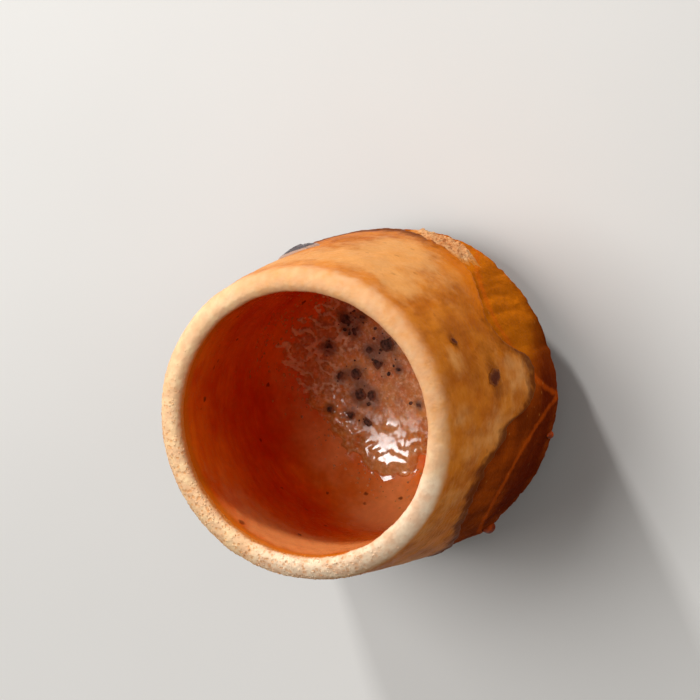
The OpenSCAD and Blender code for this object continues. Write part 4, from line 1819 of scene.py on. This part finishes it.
@dataclass
class Stage:
    """Floor, light and camera."""

    form: CupForm
    floor_size: float = 3.0
    tilt: float = 25.1
    roll: float = -110.1
    distance: float = 0.7
    lens: float = 204.3
    aim_right: float = 8.92
    aim_up: float = 13.41
    floor_colour: str = "D4D2CE"
    floor_cloud: str = "BBB9B5"
    floor_drop: float = 0.1
    air_light: float = 0.18
    lamps: tuple[Lamp, ...] = (
        Lamp("key", (0.93, 0.04, 0.36), 0.7, 0.06, 3.4),
        Lamp("fill", (0.1, -0.95, 0.18), 0.9, 0.5, 2.7, shine=False),
        Lamp("window", (0.33, 0.29, 0.90), 0.7, 0.4, 3.7),
    )

    def floor(self) -> bpy.types.Object:
        """Makes a pale, very slightly clouded floor under the foot."""
        half = self.floor_size / 2
        mesh = bpy.data.meshes.new("floor")
        corners = ((-half, -half), (half, -half), (half, half), (-half, half))
        mesh.from_pydata([(x, y, -self.floor_drop * MM) for x, y in corners], [], [(0, 1, 2, 3)])
        obj = link(bpy.data.objects.new("floor", mesh))
        made = bpy.data.materials.new("pale_floor")
        made.use_nodes = True
        bench = Bench(made.node_tree)
        shader = made.node_tree.nodes["Principled BSDF"]
        shader.inputs["Roughness"].default_value = 0.6
        values = {"Place": bench.millimetres(), "Size": 60.0, "Spread": 0.3}
        cloud = bench.group(KilnEffects.mottle(), values)
        share = bench.math("MULTIPLY", cloud, 0.1)
        tone = bench.blend(share, tint(self.floor_colour), tint(self.floor_cloud))
        made.node_tree.links.new(tone, shader.inputs["Base Color"])
        mesh.materials.append(made)
        return obj

    def world(self) -> None:
        """Lights the scene evenly, and shows pale surroundings to the camera and to rays that pass through
        glass.
        """
        made = bpy.data.worlds.new("studio")
        bpy.context.scene.world = made
        made.use_nodes = True
        made.node_tree.nodes.clear()
        bench = Bench(made.node_tree)
        air = {"Color": (1.0, 0.98, 0.95, 1.0), "Strength": self.air_light}
        light = bench.node("ShaderNodeBackground", air)
        shown = bench.node("ShaderNodeBackground", {"Color": tint(self.floor_colour), "Strength": 1.0})
        path = bench.node("ShaderNodeLightPath")
        seen = bench.math("MAXIMUM", path.outputs["Is Camera Ray"], path.outputs["Is Transmission Ray"])
        mixed = bench.node("ShaderNodeMixShader", {0: seen, 1: light.outputs[0], 2: shown.outputs[0]})
        bench.node("ShaderNodeOutputWorld", {"Surface": mixed.outputs[0]})

    def hang(self, lamp: Lamp) -> None:
        """Hangs a lamp that faces the cup."""
        data = bpy.data.lights.new(lamp.name, "AREA")
        data.energy = lamp.power
        data.size = lamp.size
        obj = link(bpy.data.objects.new(lamp.name, data))
        back = Vector(lamp.heading).normalized()
        obj.location = Vector((0, 0, self.form.cup_height * MM / 2)) + back * lamp.away
        obj.rotation_euler = back.to_track_quat("Z", "Y").to_euler()
        obj.visible_glossy = lamp.shine

    def camera(self) -> None:
        """Sets the camera above the front of the cup, rolled so that +X is up, as in the photograph."""
        tilt, roll = math.radians(self.tilt), math.radians(self.roll)
        back = Vector((0.0, -math.sin(tilt), math.cos(tilt)))
        level = Vector((1.0, 0.0, 0.0))
        right = math.cos(roll) * level + math.sin(roll) * back.cross(level)
        up = back.cross(right)
        data = bpy.data.cameras.new("camera")
        data.lens = self.lens
        obj = link(bpy.data.objects.new("camera", data))
        rim = Vector((0.0, 0.0, self.form.cup_height * MM))
        aim = rim + right * self.aim_right * MM + up * self.aim_up * MM
        eye = rim + back * self.distance
        look = (eye - aim).normalized()
        side = up.cross(look).normalized()
        axes = Matrix((side, look.cross(side), look)).transposed()
        obj.matrix_world = Matrix.Translation(eye) @ axes.to_4x4()
        bpy.context.scene.camera = obj

    def make(self) -> None:
        """Makes the floor, the lights and the camera."""
        self.floor()
        self.world()
        for lamp in self.lamps:
            self.hang(lamp)
        self.camera()
        LOG.info("stage: floor, %d lamps and the camera", len(self.lamps))


def main() -> None:
    """Builds the cup piece by piece, then the stage."""
    logging.basicConfig(level=logging.INFO, format="%(message)s")
    form = CupForm.from_frame()
    ClayCup(form).make()
    FootRing(form).make()
    OuterGlaze(form).make()
    liner = InnerGlaze(form).make()
    pool_maker = AshPool(form)
    pool_maker.strew(liner)
    pool = pool_maker.make()
    spots = IronSpots(form)
    spots.strew(pool)
    spots.make()
    AshCrust(form).make()
    GlazeBeads(form).make()
    AshBlister(form).make()
    Stage(form).make()
    bpy.context.scene.view_settings.view_transform = "Standard"


if __name__ == "__main__":
    main()
